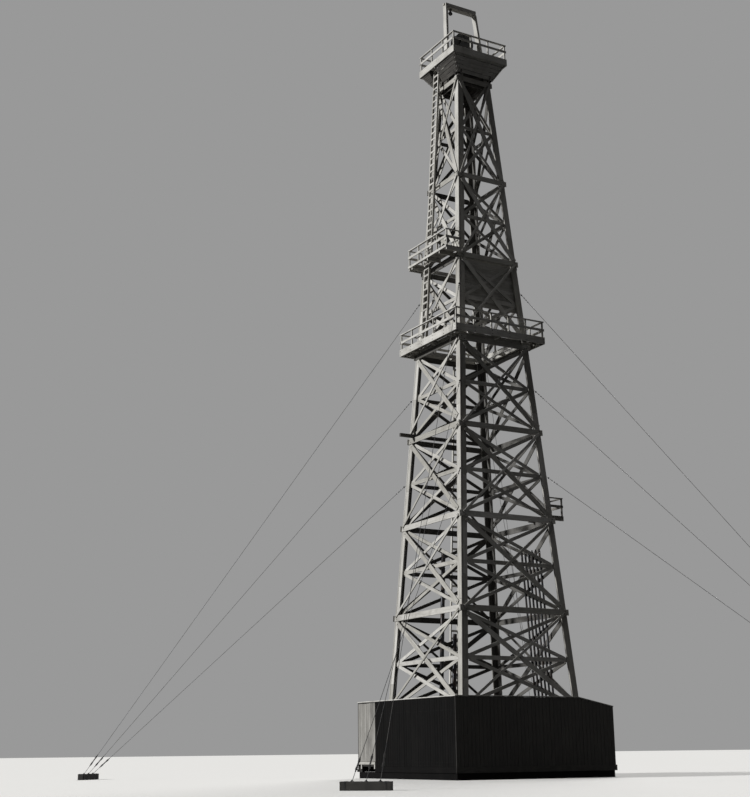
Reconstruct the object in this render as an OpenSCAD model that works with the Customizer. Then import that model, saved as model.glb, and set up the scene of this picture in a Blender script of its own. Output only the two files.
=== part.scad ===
// Timber oil drilling derrick with a boarded enclosure round its floor, a gallery, a
// landing, a crown platform with the crown block, a gin pole frame on top, and wire
// stays from its corners down to anchor logs.
// Half-size scale model, in millimetres: z = 0 is the ground, the tower axis is the Z
// axis, the side with the landing and the ladders faces -X and the windbreak faces -Y.

/* [Tower] */
// Width of the tower over its legs at the ground
base_w = 3630; // [3000:10:4500]
// Width of the tower over its legs at the crown
top_w = 992; // [700:2:1500]
// Height of the legs' top over the ground
tower_h = 18975; // [15000:25:22000]
// Height of the first row of girts that shows over the enclosure
first_girt_z = 3905; // [3000:5:4500]
// Spacing of the girt rows below the gallery
lower_panel_h = 2295; // [2000:5:2600]
// Spacing of the girt rows above the gallery
upper_panel_h = 2350; // [2000:5:2600]
// Width of the planks of a leg
leg_w = 175; // [120:1:220]
// Thickness of the built-up planks of a leg
leg_t = 50; // [30:1:80]
// Width of a main girt
girt_w = 145; // [80:1:180]
// Width of a middle girt
mid_girt_w = 100; // [60:1:140]
// How far the windbreak's boards reach down past the middle girt's middle
windbreak_drop = 200; // [60:5:400]
// Width of the broad brace across a whole panel
brace_w = 125; // [60:1:150]
// Width of the brace that crosses over the broad one
over_brace_w = 62; // [40:1:130]
// Width of the braces across a half panel
half_brace_w = 85; // [40:1:120]
// Thickness of girts and braces
plank_t = 25; // [20:1:40]
// How far a front or back girt runs past the legs
girt_run = 60; // [0:1:120]

/* [Foundation and floor] */
// Side of the timber sills
sill = 150; // [100:5:250]
// Side of the pad under a leg
leg_pad = 360; // [250:5:500]
// Side of the posts under the floor
floor_post = 120; // [80:5:200]
// Height of the floor's top over the ground
floor_z = 600; // [400:10:1200]
// Depth of the floor joists
joist_d = 150; // [100:5:200]
// Width of the floor joists
joist_w = 90; // [60:5:140]
// Thickness of the floor boards
floor_t = 30; // [20:1:60]
// Side of the square hole in the floor, over the well
well_hole = 700; // [400:10:1200]

/* [Enclosure] */
// Width of the enclosure over its boards
enclosure_w = 4520; // [4200:10:6000]
// Height of the walls' top
wall_top = 1830; // [1500:10:2400]
// Height of the lower edge of the front and left walls
wall_foot = 225; // [170:5:500]
// Gap between the sills' top and the back and right walls' lower edge
far_gap = 15; // [5:1:200]
// Thickness of the wall boards
wall_t = 25; // [15:1:50]
// Side of the wall posts
wall_post = 70; // [50:1:120]
// Height of the right wall, lower than the rest
low_wall_top = 1620; // [1300:10:1800]
// Where the front and back walls begin to slope down, from the tower's axis
slope_x = 1200; // [900:10:2000]
// Width of the pale panel at the end of the left wall
pale_w = 850; // [500:10:1200]
// Height of the pale panel's lower edge
pale_foot = 400; // [200:10:600]

/* [Gallery and landings] */
// Width of the gallery over its fascia
gallery_w = 2770; // [2500:10:3400]
// Height of a handrail over the deck's top
rail_h = 495; // [400:5:600]
// Thickness of the deck boards
deck_t = 30; // [20:1:50]
// Depth of the joists under a deck
deck_joist_d = 95; // [60:1:150]
// Width of a deck joist
deck_joist_w = 45; // [30:1:70]
// Depth of the gallery's fascia, which stands up past the deck as a toe board
gallery_fascia_d = 185; // [160:1:240]
// Thickness of a fascia board
fascia_t = 25; // [15:1:40]
// Side of a rail post
rail_post = 38; // [25:1:60]
// Width of the middle rail board
rail_w = 66; // [30:1:90]
// Thickness of the middle rail board
rail_t = 20; // [12:1:30]
// Thickness of the flat cap on the posts
cap_t = 26; // [15:1:40]
// How far the landing's girts lie under the rest of their row
landing_drop = 85; // [40:5:150]
// Reach of the landing from the tower's side
landing_out = 500; // [350:10:700]
// Length of the landing along the tower's side
landing_l = 1890; // [1700:10:2200]
// How far the landing's middle lies towards the front
landing_y = 100; // [0:10:200]
// Depth of the thin board along the landing's edge
landing_edge_d = 62; // [40:1:110]
// Height of the landing's handrail over its deck
landing_rail_h = 460; // [350:5:600]
// Reach of the small side landing from the tower's side
perch_out = 520; // [350:10:700]
// Length of the small side landing
perch_l = 600; // [400:10:900]
// Height of the side landing's handrail over its deck
perch_rail_h = 470; // [350:5:700]
// How far the cross beam runs out past the tower's side
cross_out = 420; // [200:10:600]
// Depth of the cross beam
cross_d = 90; // [60:1:140]
// Width of the cross beam
cross_w = 60; // [40:1:90]

/* [Crown] */
// Width of the crown platform over its fascia
crown_w = 1770; // [1600:10:2200]
// Depth of the crown platform's fascia, up to the deck's top
crown_fascia_d = 200; // [140:5:300]
// Height of the crown's handrail over its deck
crown_rail_h = 440; // [350:5:600]
// Depth of the beams across the tower's top
crown_beam_d = 130; // [80:5:200]
// Width of the beams across the tower's top
crown_beam_w = 110; // [80:5:160]
// How far the platform's brackets reach down the legs
bracket_drop = 420; // [250:10:700]
// Width of a bracket
bracket_w = 50; // [30:1:80]
// Side of the hole in the crown deck under the sheaves
crown_hole = 600; // [400:10:800]
// Radius of a crown sheave
sheave_r = 300; // [200:5:400]
// Thickness of a crown sheave
sheave_t = 50; // [30:1:80]
// Gap between two sheaves
sheave_gap = 12; // [6:1:30]
// Number of crown sheaves
sheave_n = 4; // [2:1:6]
// Radius of the sheaves' shaft
shaft_r = 30; // [20:1:50]
// Height of the sheaves' shaft over the crown deck
shaft_h = 670; // [450:10:900]

/* [Gin pole frame] */
// Height of the frame's top over the ground
gin_top = 21040; // [20700:10:21500]
// Reach of the upright left post from the tower's axis
gin_left_x = 525; // [450:10:700]
// Reach of the leaning right post's foot
gin_right_foot = 680; // [500:10:780]
// Reach of the leaning right post's head
gin_right_head = 420; // [300:10:700]
// Side of the posts and the beam
gin_s = 155; // [90:1:180]
// Thickness of its posts
gin_t = 70; // [45:1:100]

/* [Ladders] */
// Width of a ladder over its rails
ladder_w = 260; // [220:5:400]
// Spacing of the rungs
rung_gap = 195; // [150:5:300]
// Clear stand-off of a ladder from the girts
ladder_off = 125; // [60:5:250]
// Place of the upper ladder from the middle of its side
upper_ladder_y = 300; // [150:5:310]
// Place of the middle ladder from the middle of its side
middle_ladder_y = 370; // [200:5:500]

/* [Pipe] */
// Radius of a drill pipe
pipe_r = 28; // [20:1:45]
// Number of drill pipes that lean on the right side
pipe_n = 6; // [2:1:8]
// Spacing of the drill pipes
pipe_gap = 150; // [70:1:180]
// How far the pipes' row lies towards the front from the side's middle
pipe_y = 450; // [0:10:700]
// Length of a drill pipe
pipe_l = 5000; // [3500:50:6000]
// Radius of the two casing pipes that lean on the back
casing_r = 55; // [30:1:80]
// Length of the longer casing pipe
casing_l = 5100; // [3500:50:6000]
// Length of the shorter one
short_casing_l = 3000; // [2000:50:5000]

/* [Stays] */
// Radius of a wire stay
stay_r = 5.5; // [4:0.5:10]
// Distance of the anchor logs from the tower's axis, along X and along Y
anchor_x = 7500; // [6000:100:9000]
// Length of an anchor log
anchor_l = 900; // [800:10:1400]
// Side of an anchor log
anchor_s = 150; // [80:5:250]
// Spacing of the stays along their anchor log
stay_gap = 250; // [100:10:350]
// Height of the upper stays over the girt row of the gallery
upper_stay_h = 1530; // [1400:10:1900]

/* [Hidden] */

wood = [0.72, 0.70, 0.66];
dark_wood = [0.14, 0.13, 0.12];
pale = [0.86, 0.85, 0.82];
iron = [0.16, 0.16, 0.17];

FRONT = 0;
RIGHT = 90;
BACK = 180;
LEFT = 270;
SIDES = [FRONT, RIGHT, BACK, LEFT];

// Inward lean of a side for each unit of height, and the length of its slope
lean = (base_w - top_w) / 2 / tower_h;
slope = sqrt(1 + lean * lean);
// Heights of the girt rows, from the one that the enclosure hides to the tower's top
levels = [first_girt_z - lower_panel_h,
          first_girt_z,
          first_girt_z + lower_panel_h,
          first_girt_z + 2 * lower_panel_h,
          first_girt_z + 3 * lower_panel_h,
          first_girt_z + 3 * lower_panel_h + upper_panel_h,
          first_girt_z + 3 * lower_panel_h + 2 * upper_panel_h,
          tower_h - bracket_drop - girt_w / 2];
PERCH_ROW = 2;
CROSS_ROW = 3;
GALLERY_ROW = 4;
LANDING_ROW = 5;
TOP_ROW = 7;
// Gap between pieces that bear on each other without being one piece
seat_gap = 0.3;
// Play between pieces that lie beside each other without touching
play = 2;
// Depth of a side's inner planks behind its plane
inner = leg_t + plank_t;

// Undersides and tops of the decks
deck_h = deck_joist_d + deck_t;
gallery_z = seat(levels[GALLERY_ROW]);
gallery_top = gallery_z + deck_h;
landing_z = seat(levels[LANDING_ROW] - landing_drop);
landing_top = landing_z + deck_h;
landing_half = half_at(landing_z);
landing_x = landing_half + landing_out;
perch_z = seat(levels[PERCH_ROW]);
perch_top = perch_z + deck_h;
perch_half = half_at(perch_z);
cross_z = seat(levels[CROSS_ROW]);
crown_z = tower_h + crown_beam_d;
crown_top = crown_z + deck_h;
// Middle of the beams that run past the legs
gallery_beam = half_at(gallery_z) - leg_w - deck_joist_w;
landing_beam = landing_half - leg_w - deck_joist_w;
// Distance of a rail post's outer face behind the outer face of the fascia
post_in = fascia_t + seat_gap;
// Height of the middle rail board's lower edge, as a share of the handrail's height
mid_rail = 0.45;

// Width inside the wall boards, and inside the wall posts
inside_w = enclosure_w - 2 * wall_t;
floor_w = inside_w - 2 * wall_post;
// Places of the sills across the ground, as shares of their reach from the axis
sill_rows = [-1, -0.5, 0, 0.5, 1];
sill_reach = inside_w / 2 - sill / 2;
// Places of the floor joists, as shares of theirs
joist_rows = [-1, -0.4, 0.4, 1];
joist_reach = floor_w / 2 - joist_w;
joist_z = floor_z - floor_t - joist_d;
// Clear space round a leg where it passes the floor
leg_play = 30;
// Bays and rails of a wall's frame
wall_bays = 5;
wall_rail = 60;
wall_rail_rows = [wall_foot + wall_rail, joist_z - wall_rail, low_wall_top - 2 * wall_rail];

// Overall length of the sheaves' group and the middle of a bearing
group_w = sheave_n * sheave_t + (sheave_n + 1) * sheave_gap;
bearing_t = 60;
bearing_x = group_w / 2 + bearing_t / 2 + sheave_gap;
bearing_play = 0.05;
shaft_z = crown_top + shaft_h;

// Sections of a ladder's rail and rung
far_foot = sill + far_gap;
ladder_rail_w = 36;
ladder_rail_d = 60;
rung_w = 55;
rung_t = 20;
ladder_c = plank_t + ladder_off;
// Reach of the hatches beside the ladders
hatch = 230;

// Heights at which the stays meet the legs' corners
stay_rows = [(levels[2] + levels[3]) / 2,
             (levels[3] + levels[4]) / 2,
             levels[GALLERY_ROW] + upper_stay_h];

function half_at(z) = base_w / 2 - lean * z;

// Height at which a piece bears on the outer top edge of a leaning girt
function seat(z) = z + (girt_w / 2 + plank_t * lean) / slope;

// Puts children drawn on the plane of a side (x along it, y up its slope, z outward)
// on the side that the angle names
module on_side(angle) {
    rotate([0, 0, angle])
        multmatrix([[1, 0, 0, 0],
                    [0, lean / slope, -1 / slope, -base_w / 2],
                    [0, 1 / slope, lean / slope, 0],
                    [0, 0, 0, 1]])
            children();
}

// A level plank on a side, with its inner face at c from the side's plane
module girt(h, z, w, c) {
    translate([-h, z * slope - w / 2, c]) cube([2 * h, w, plank_t]);
}

// A sloping plank on a side, t thick from c outward, from the bottom corner on one end
// of a panel to the top corner on the other, cut off along the panel's edges; inset is
// the play at its ends
module brace(z0, z1, w, c, t, inset, rises) {
    h0 = half_at(z0) - inset;
    h1 = half_at(z1) - inset;
    b0 = z0 * slope;
    b1 = z1 * slope;
    s = rises ? 1 : -1;
    m0 = h0 - w * 0.6;
    m1 = h1 - w * 0.6;
    reach = norm([m0 + m1, b1 - b0]);
    intersection() {
        translate([-s * m0, b0, c])
            rotate([0, 0, s > 0 ? atan2(b1 - b0, m0 + m1) : 180 - atan2(b1 - b0, m0 + m1)])
                translate([-2 * w, -w / 2, 0])
                    cube([reach + 4 * w, w, t]);
        translate([0, 0, c])
            linear_extrude(height = t)
                polygon([[-h0, b0], [h0, b0], [h1, b1], [-h1, b1]]);
    }
}

// One flange of a leg: a plank with its outer edge on the tower's corner line; e is -1
// at the left end of the side and 1 at the right end
module leg_flange(e) {
    a0 = e * half_at(-leg_w);
    a1 = e * half_at(tower_h + leg_w);
    b0 = -leg_w * slope;
    b1 = (tower_h + leg_w) * slope;
    translate([a0, b0, -leg_t])
        rotate([0, 0, atan2(b1 - b0, a1 - a0)])
            translate([0, e > 0 ? 0 : -leg_w, 0])
                cube([norm([a1 - a0, b1 - b0]), leg_w, leg_t]);
}

// A corner post of two built-up planks that meet at a right angle, cut level at its
// foot on the pad and at its head under the crown beams
module leg(angle) {
    color(wood) intersection() {
        union() {
            on_side(angle) leg_flange(1);
            on_side(angle + 90) leg_flange(-1);
        }
        translate([-base_w, -base_w, sill]) cube([2 * base_w, 2 * base_w, tower_h - sill]);
    }
}

module front_left_leg() leg(LEFT);
module front_right_leg() leg(FRONT);
module back_right_leg() leg(RIGHT);
module back_left_leg() leg(BACK);

// Whether the landing's and the cross beam's ends bear on a side
function across(angle) = angle == LEFT || angle == RIGHT;

function row_z(i, angle) = levels[i] - (i == LANDING_ROW && across(angle) ? landing_drop : 0);

// The main girts of one side, nailed on the legs; run is how far they pass the legs
module girts(angle, run) {
    color(wood) on_side(angle)
        for (i = [0 : TOP_ROW])
            girt(half_at(row_z(i, angle) + girt_w / 2) + run, row_z(i, angle), girt_w, 0);
}

module front_girts() girts(FRONT, girt_run);
module back_girts() girts(BACK, girt_run);
module left_girts() girts(LEFT, 0);
module right_girts() girts(RIGHT, 0);

// Whether a girt carries a deck or a beam, and the bottom of the braces over it
function carries(i, angle) =
    i == GALLERY_ROW || (i == LANDING_ROW && across(angle)) || (i == PERCH_ROW && angle == RIGHT)
    || (i == CROSS_ROW && across(angle));

function foot_of(i, angle) =
    i == CROSS_ROW && across(angle) ? cross_z + cross_d
    : carries(i, angle) ? seat(row_z(i, angle)) + deck_h
    : seat(levels[i]);

function head_of(i, angle) = row_z(i + 1, angle) - girt_w / 2;

// The braces of a side's panels: a broad one across the panel with one lapped over it
// and over the girts, and inside the legs the middle girt with a cross over and under it
module side_braces(angle, first, last) {
    color(wood) on_side(angle)
        for (i = [first : last]) {
            z0 = foot_of(i, angle);
            z1 = head_of(i, angle);
            z = (levels[i] + levels[i + 1]) / 2;
            lap_z = carries(i, angle) ? z0 : levels[i];
            end = inner + play + mid_girt_w * lean;
            brace(z0, z1, brace_w, 0, plank_t + 2 * seat_gap, seat_gap, false);
            brace(lap_z, row_z(i + 1, angle), over_brace_w, plank_t + seat_gap, plank_t, seat_gap, true);
            for (rises = [false, true]) {
                brace(z0 + inner * lean + seat_gap, z, half_brace_w, -inner, plank_t, end + 1, rises);
                brace(z, z1, half_brace_w, -inner, plank_t, end + 1, rises);
            }
            girt(half_at(z) - end, z, mid_girt_w, -inner);
        }
}

module front_lower_braces() side_braces(FRONT, 0, 3);
module front_upper_braces() side_braces(FRONT, 4, 6);
module left_lower_braces() side_braces(LEFT, 0, 3);
module left_upper_braces() side_braces(LEFT, 4, 6);
module back_lower_braces() side_braces(BACK, 0, 3);
module back_upper_braces() side_braces(BACK, 4, 6);
module right_lower_braces() side_braces(RIGHT, 0, 3);
module right_upper_braces() side_braces(RIGHT, 4, 6);

// Boards inside the braces, from under the middle girt over the gallery up to the next row
module windbreak() {
    z1 = levels[LANDING_ROW] - girt_w / 2;
    z0 = (levels[GALLERY_ROW] + levels[LANDING_ROW]) / 2 - windbreak_drop;
    in = inner + plank_t + seat_gap;
    color(dark_wood) on_side(FRONT)
        translate([0, 0, -in - wall_t + plank_t])
            linear_extrude(height = wall_t)
                polygon([[in - half_at(z0), z0 * slope], [half_at(z0) - in, z0 * slope],
                         [half_at(z1) - in, z1 * slope], [in - half_at(z1), z1 * slope]]);
}

// Beams across the tower: one on the girts that runs out beside the back left leg, and
// two on the legs' heads that carry the crown
module cross_beams() {
    h = half_at(cross_z);
    e = top_w / 2;
    color(dark_wood) {
        translate([-h - cross_out, half_at(cross_z + cross_d) - leg_w * slope - play - cross_w, cross_z])
            cube([2 * h + cross_out + plank_t, cross_w, cross_d]);
        for (s = [-1, 1])
            translate([-e - 60, s * (e - crown_beam_w / 2) - crown_beam_w / 2, tower_h])
                cube([2 * e + 120, crown_beam_w, crown_beam_d]);
    }
}

// Heavy sills on the ground, with short ones between their ends, and pads for the legs
module sills() {
    pad_at = base_w / 2 - leg_w / 2;
    step = sill_reach / 2;
    color(dark_wood) {
        for (r = sill_rows)
            translate([-inside_w / 2, r * sill_reach - sill / 2, 0]) cube([inside_w, sill, sill]);
        for (x = [-1, 1], y = [-1.5, -0.5, 0.5, 1.5])
            translate([x * sill_reach - sill / 2, y * step - (step - sill) / 2 + seat_gap, 0])
                cube([sill, step - sill - 2 * seat_gap, sill]);
        for (x = [-1, 1], y = [-1, 1])
            translate([x * pad_at - leg_pad / 2, y * pad_at - leg_pad / 2, 0])
                cube([leg_pad, leg_pad, sill]);
    }
}

// The floor joists, each on three posts that stand on the sills
module floor_frame() {
    color(dark_wood)
        for (x = joist_rows) translate([x * joist_reach, 0, 0]) {
            translate([-joist_w / 2, -floor_w / 2, joist_z]) cube([joist_w, floor_w, joist_d]);
            for (y = [-0.5, 0, 0.5])
                translate([-floor_post / 2, y * sill_reach - floor_post / 2, sill])
                    cube([floor_post, floor_post, joist_z - sill + 1]);
        }
}

// The floor, cut away round the legs and over the well
module floor_deck() {
    leg_hole = leg_w + 2 * leg_play;
    leg_at = half_at(floor_z) - leg_w / 2;
    color(wood) difference() {
        translate([-floor_w / 2, -floor_w / 2, floor_z - floor_t]) cube([floor_w, floor_w, floor_t]);
        translate([-well_hole / 2, -well_hole / 2, floor_z - floor_t - 1])
            cube([well_hole, well_hole, floor_t + 2]);
        for (x = [-1, 1], y = [-1, 1])
            translate([x * leg_at - leg_hole / 2, y * leg_at - leg_hole / 2, floor_z - floor_t - 1])
                cube([leg_hole, leg_hole, floor_t + 2]);
    }
}

// The outline of the front and back walls, high over the tower and low at the right
module end_wall(y, foot) {
    e = enclosure_w / 2;
    color(dark_wood)
        translate([0, y, 0])
            rotate([90, 0, 0])
                linear_extrude(height = wall_t)
                    polygon([[-e, foot], [e, foot], [e, low_wall_top],
                             [slope_x, wall_top], [-e, wall_top]]);
}

module front_wall() end_wall(-enclosure_w / 2 + wall_t, wall_foot);
module back_wall() end_wall(enclosure_w / 2, far_foot);

// A straight stretch of wall on the -Y side between two places and two heights
module wall_panel(x0, x1, z0, z1) {
    translate([x0, -enclosure_w / 2, z0]) cube([x1 - x0, wall_t, z1 - z0]);
}

module right_wall() {
    color(dark_wood) rotate([0, 0, RIGHT])
        wall_panel(-inside_w / 2, inside_w / 2, far_foot, low_wall_top);
}

module left_wall() {
    color(dark_wood) rotate([0, 0, LEFT])
        wall_panel(-inside_w / 2 + pale_w, inside_w / 2, wall_foot, wall_top);
}

module pale_panel() {
    color(pale) rotate([0, 0, LEFT])
        wall_panel(-inside_w / 2, -inside_w / 2 + pale_w - play, pale_foot, wall_top - wall_t);
}

// Height of a wall's posts, which follow the walls' tops
function wall_post_top(angle, x) =
    (angle == RIGHT ? low_wall_top
     : angle == LEFT || x < slope_x ? wall_top
     : wall_top - (x - slope_x) * (wall_top - low_wall_top) / (enclosure_w / 2 - slope_x)) - wall_t;

// Posts on the sills with rails between them, behind the boards of each wall
module wall_frame() {
    color(dark_wood)
        for (a = SIDES) rotate([0, 0, a]) {
            w = inside_w - (across(a) ? 2 * (wall_post + seat_gap) : 0);
            for (i = [0 : wall_bays]) {
                x = -w / 2 + i * (w - wall_post) / wall_bays;
                translate([x, -inside_w / 2, sill])
                    cube([wall_post, wall_post,
                          wall_post_top(a, a == FRONT ? x + wall_post : -x) - sill]);
            }
            for (z = wall_rail_rows)
                translate([-w / 2, -inside_w / 2, z]) cube([w, wall_post, wall_rail]);
        }
}

// A stretch of handrail along X, with its posts' outer faces at y = 0: posts at the
// places xs, and from x0 to x1 a board part of the way up and a flat cap, both of which
// stand out before the posts by out
module rail(xs, x0, x1, h, out) {
    for (x = xs) translate([x, 0, 0]) cube([rail_post, rail_post, h - cap_t + 1]);
    translate([x0, -out, h * mid_rail]) cube([x1 - x0, rail_t + 1, rail_w]);
    translate([x0, -out, h - cap_t]) cube([x1 - x0, out + rail_post, cap_t]);
}

// A square of handrails inside a fascia of width w, each side apart from the next
module square_rail(w, bays, h) {
    l = w - 2 * post_in;
    step = (l - rail_post) / bays;
    for (a = SIDES) rotate([0, 0, a]) translate([-l / 2, -l / 2, 0])
        if (across(a))
            rail([for (i = [1 : bays - 1]) i * step],
                 rail_post + seat_gap, l - rail_post - seat_gap, h, rail_t);
        else
            rail([for (i = [0 : bays]) i * step], -rail_t, l + rail_t, h, rail_t);
}

// A square frame of fascia boards, d deep
module fascia(w, d) {
    difference() {
        translate([-w / 2, -w / 2, 0]) cube([w, w, d]);
        translate([-w / 2 + fascia_t, -w / 2 + fascia_t, -1])
            cube([w - 2 * fascia_t, w - 2 * fascia_t, d + 2]);
    }
}

// Beams across the tower on its girts, with the fascia and the joists between
module gallery_beams() {
    e = gallery_w / 2;
    h = half_at(gallery_z);
    color(wood) translate([0, 0, gallery_z]) {
        fascia(gallery_w, gallery_fascia_d);
        for (a = [0, 90]) rotate([0, 0, a])
            for (s = [-1, 1])
                translate([-e + 5, s * gallery_beam - deck_joist_w / 2, 0])
                    cube([gallery_w - 10, deck_joist_w, deck_joist_d]);
        for (a = SIDES) rotate([0, 0, a]) {
            translate([-h, -h - plank_t - seat_gap, 0]) cube([2 * h, plank_t, deck_joist_d]);
            translate([-deck_joist_w / 2, -e + 5, 0])
                cube([deck_joist_w, e - gallery_beam, deck_joist_d]);
            for (s = [-1, 1])
                translate([s * (e - 180) - deck_joist_w / 2, -e + 5, 0])
                    cube([deck_joist_w, e - h - plank_t - 10, deck_joist_d]);
        }
    }
}

// The gallery's boards, open over the tower, with a hatch over the lower ladder
module gallery_deck() {
    e = gallery_w / 2 - post_in;
    h = half_at(gallery_z) + 2 * plank_t + play;
    color(wood) translate([0, 0, gallery_z + deck_joist_d]) difference() {
        translate([-e, -e, 0]) cube([2 * e, 2 * e, deck_t]);
        translate([-h, -h, -1]) cube([2 * h, 2 * h, deck_t + 2]);
        translate([middle_ladder_y - ladder_w / 2 - play, h - 1, -1])
            cube([ladder_w + 2 * play, hatch, deck_t + 2]);
    }
}

module gallery_rail() {
    color(wood) translate([0, 0, gallery_top]) square_rail(gallery_w, 5, rail_h);
}

// Two beams through the tower with the joists under the landing, behind a thin board
// along its outer edge
module landing_beams() {
    l = landing_out - fascia_t + 1 - max(girt_run, 2 * plank_t + 1) - play;
    color(wood) translate([0, 0, landing_z]) {
        translate([-landing_x, -landing_y - landing_l / 2, deck_h - landing_edge_d])
            cube([fascia_t, landing_l, landing_edge_d]);
        for (s = [-1, 1])
            translate([-landing_x + fascia_t - 1, s * landing_beam - deck_joist_w / 2, 0])
                cube([landing_x + landing_half + plank_t - fascia_t, deck_joist_w, deck_joist_d]);
        for (s = [-1, 0, 1])
            translate([-landing_x + fascia_t - 1,
                       -landing_y + s * (landing_l - deck_joist_w) / 2 - deck_joist_w / 2, 0])
                cube([l, deck_joist_w, deck_joist_d]);
    }
}

// The landing's boards, with a hatch beside the middle ladder
module landing_deck() {
    d = landing_out - fascia_t - 2 * plank_t - play - seat_gap;
    color(wood) translate([-landing_x + fascia_t + seat_gap, 0, landing_z + deck_joist_d])
        difference() {
            translate([0, -landing_y - landing_l / 2, 0]) cube([d, landing_l, deck_t]);
            translate([80, middle_ladder_y - ladder_w / 2, -1])
                cube([hatch - 20, ladder_w, deck_t + 2]);
        }
}

module landing_rail() {
    d = landing_out - post_in - 2 * plank_t - play;
    end = d - rail_post - seat_gap;
    step = (landing_l - rail_post) / 4;
    color(wood) translate([-landing_x + post_in, -landing_y, landing_top]) {
        translate([0, landing_l / 2, 0]) rotate([0, 0, LEFT])
            rail([for (i = [0 : 4]) i * step], 0, landing_l, landing_rail_h, rail_t);
        translate([rail_post + seat_gap, -landing_l / 2, 0])
            rail([end - rail_post], 0, end, landing_rail_h, 0);
        translate([d, landing_l / 2, 0]) rotate([0, 0, BACK])
            rail([0], 0, end, landing_rail_h, 0);
    }
}

// A small railed landing beside the front right leg, on joists that bear on the girt
module side_landing() {
    d = perch_out - 2 * (plank_t + seat_gap) - play;
    y0 = -perch_half + leg_w + deck_joist_w;
    color(wood) {
        for (y = [y0, y0 + perch_l - deck_joist_w])
            translate([perch_half - leg_w, y, perch_z])
                cube([perch_out + leg_w, deck_joist_w, deck_joist_d + 1]);
        translate([perch_half + perch_out - d, y0, perch_z + deck_joist_d]) cube([d, perch_l, deck_t]);
        translate([perch_half + perch_out, y0, perch_top - 1]) {
            translate([-rail_t, 0, 0]) rotate([0, 0, RIGHT])
                rail([0, perch_l - rail_post], 0, perch_l, perch_rail_h + 1, rail_t);
            translate([-d, rail_t, 0]) rail([0], 0, d, perch_rail_h + 1, rail_t);
        }
    }
}

// The frame under the crown deck; two of its beams carry the crown block
module crown_frame() {
    e = top_w / 2;
    w = crown_w / 2;
    color(wood) translate([0, 0, crown_z]) {
        translate([0, 0, deck_h - crown_fascia_d]) fascia(crown_w, crown_fascia_d);
        for (x = [-1, 1]) {
            translate([30 - e, x * bearing_x - crown_beam_w / 2, 0])
                cube([2 * e - 60, crown_beam_w, deck_joist_d]);
            translate([x * (e - 30) - deck_joist_w / 2, -w + 5, 0])
                cube([deck_joist_w, crown_w - 10, deck_joist_d]);
            translate([-w + 5, x * (e - 30) - deck_joist_w / 2, 0])
                cube([crown_w - 10, deck_joist_w, deck_joist_d]);
        }
    }
}

// Sloping struts from the frame's edge down to the legs, drawn on the -Y side
module crown_brackets() {
    z0 = tower_h - bracket_drop;
    foot = 110;
    color(dark_wood)
        for (a = SIDES, s = [-1, 1]) rotate([0, 0, a])
            translate([s * (half_at(tower_h) - bracket_w / 2) - bracket_w / 2, 0, 0])
                rotate([90, 0, 90])
                    linear_extrude(height = bracket_w)
                        polygon([[-half_at(z0), z0], [-half_at(z0 + foot), z0 + foot],
                                 [-crown_w / 2 + fascia_t + 130, crown_z],
                                 [-crown_w / 2 + fascia_t + 10, crown_z]]);
}

// The crown deck inside its fascia, with the hole under the sheaves and the hatch
// round the head of the upper ladder
module crown_deck() {
    e = crown_w / 2 - post_in;
    ladder_x = half_at(crown_top) + ladder_c;
    color(wood) translate([0, 0, crown_z + deck_joist_d]) difference() {
        translate([-e, -e, 0]) cube([2 * e, 2 * e, deck_t]);
        translate([-crown_hole / 2, -crown_hole / 2, -1]) cube([crown_hole, crown_hole, deck_t + 2]);
        translate([-ladder_x - hatch + ladder_rail_d / 2, upper_ladder_y - ladder_w / 2 - 10, -1])
            cube([hatch, ladder_w + 20, deck_t + 2]);
    }
}

module crown_rail() {
    color(wood) translate([0, 0, crown_top]) square_rail(crown_w, 3, crown_rail_h);
}

// Two iron sills on the deck with the bearings of the shaft
module crown_block() {
    l = crown_hole + 240;
    color(iron)
        for (s = [-1, 1]) rotate([0, 0, 90]) translate([s * bearing_x - bearing_t / 2, 0, 0]) difference() {
            rotate([90, 0, 90]) linear_extrude(height = bearing_t)
                polygon([[-l / 2, crown_top], [l / 2, crown_top], [l / 2, crown_top + 90],
                         [90, shaft_z + 80], [-90, shaft_z + 80], [-l / 2, crown_top + 90]]);
            translate([-1, 0, shaft_z]) rotate([0, 90, 0])
                cylinder(r = shaft_r + bearing_play, h = bearing_t + 2, $fn = 48);
        }
}

// The sheaves and their shaft turn together
module crown_sheaves() {
    rim = 40;
    web = 12;
    hub = 40;
    pitch = sheave_t + sheave_gap;
    color(iron) translate([0, 0, shaft_z]) rotate([90, 0, 0]) {
        translate([0, 0, -bearing_x - bearing_t / 2 - 20])
            cylinder(r = shaft_r, h = 2 * bearing_x + bearing_t + 40, $fn = 48);
        for (i = [0 : sheave_n - 1])
            translate([0, 0, (i - (sheave_n - 1) / 2) * pitch])
                rotate_extrude($fn = 64)
                    polygon([[shaft_r - 5, -pitch / 2], [shaft_r + hub, -pitch / 2],
                             [shaft_r + hub, -web], [sheave_r - 1.5 * rim, -web],
                             [sheave_r - rim, -sheave_t / 2], [sheave_r, -sheave_t / 2],
                             [sheave_r - rim / 2, 0], [sheave_r, sheave_t / 2],
                             [sheave_r - rim, sheave_t / 2], [sheave_r - 1.5 * rim, web],
                             [shaft_r + hub, web], [shaft_r + hub, pitch / 2],
                             [shaft_r - 5, pitch / 2]]);
    }
}

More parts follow.
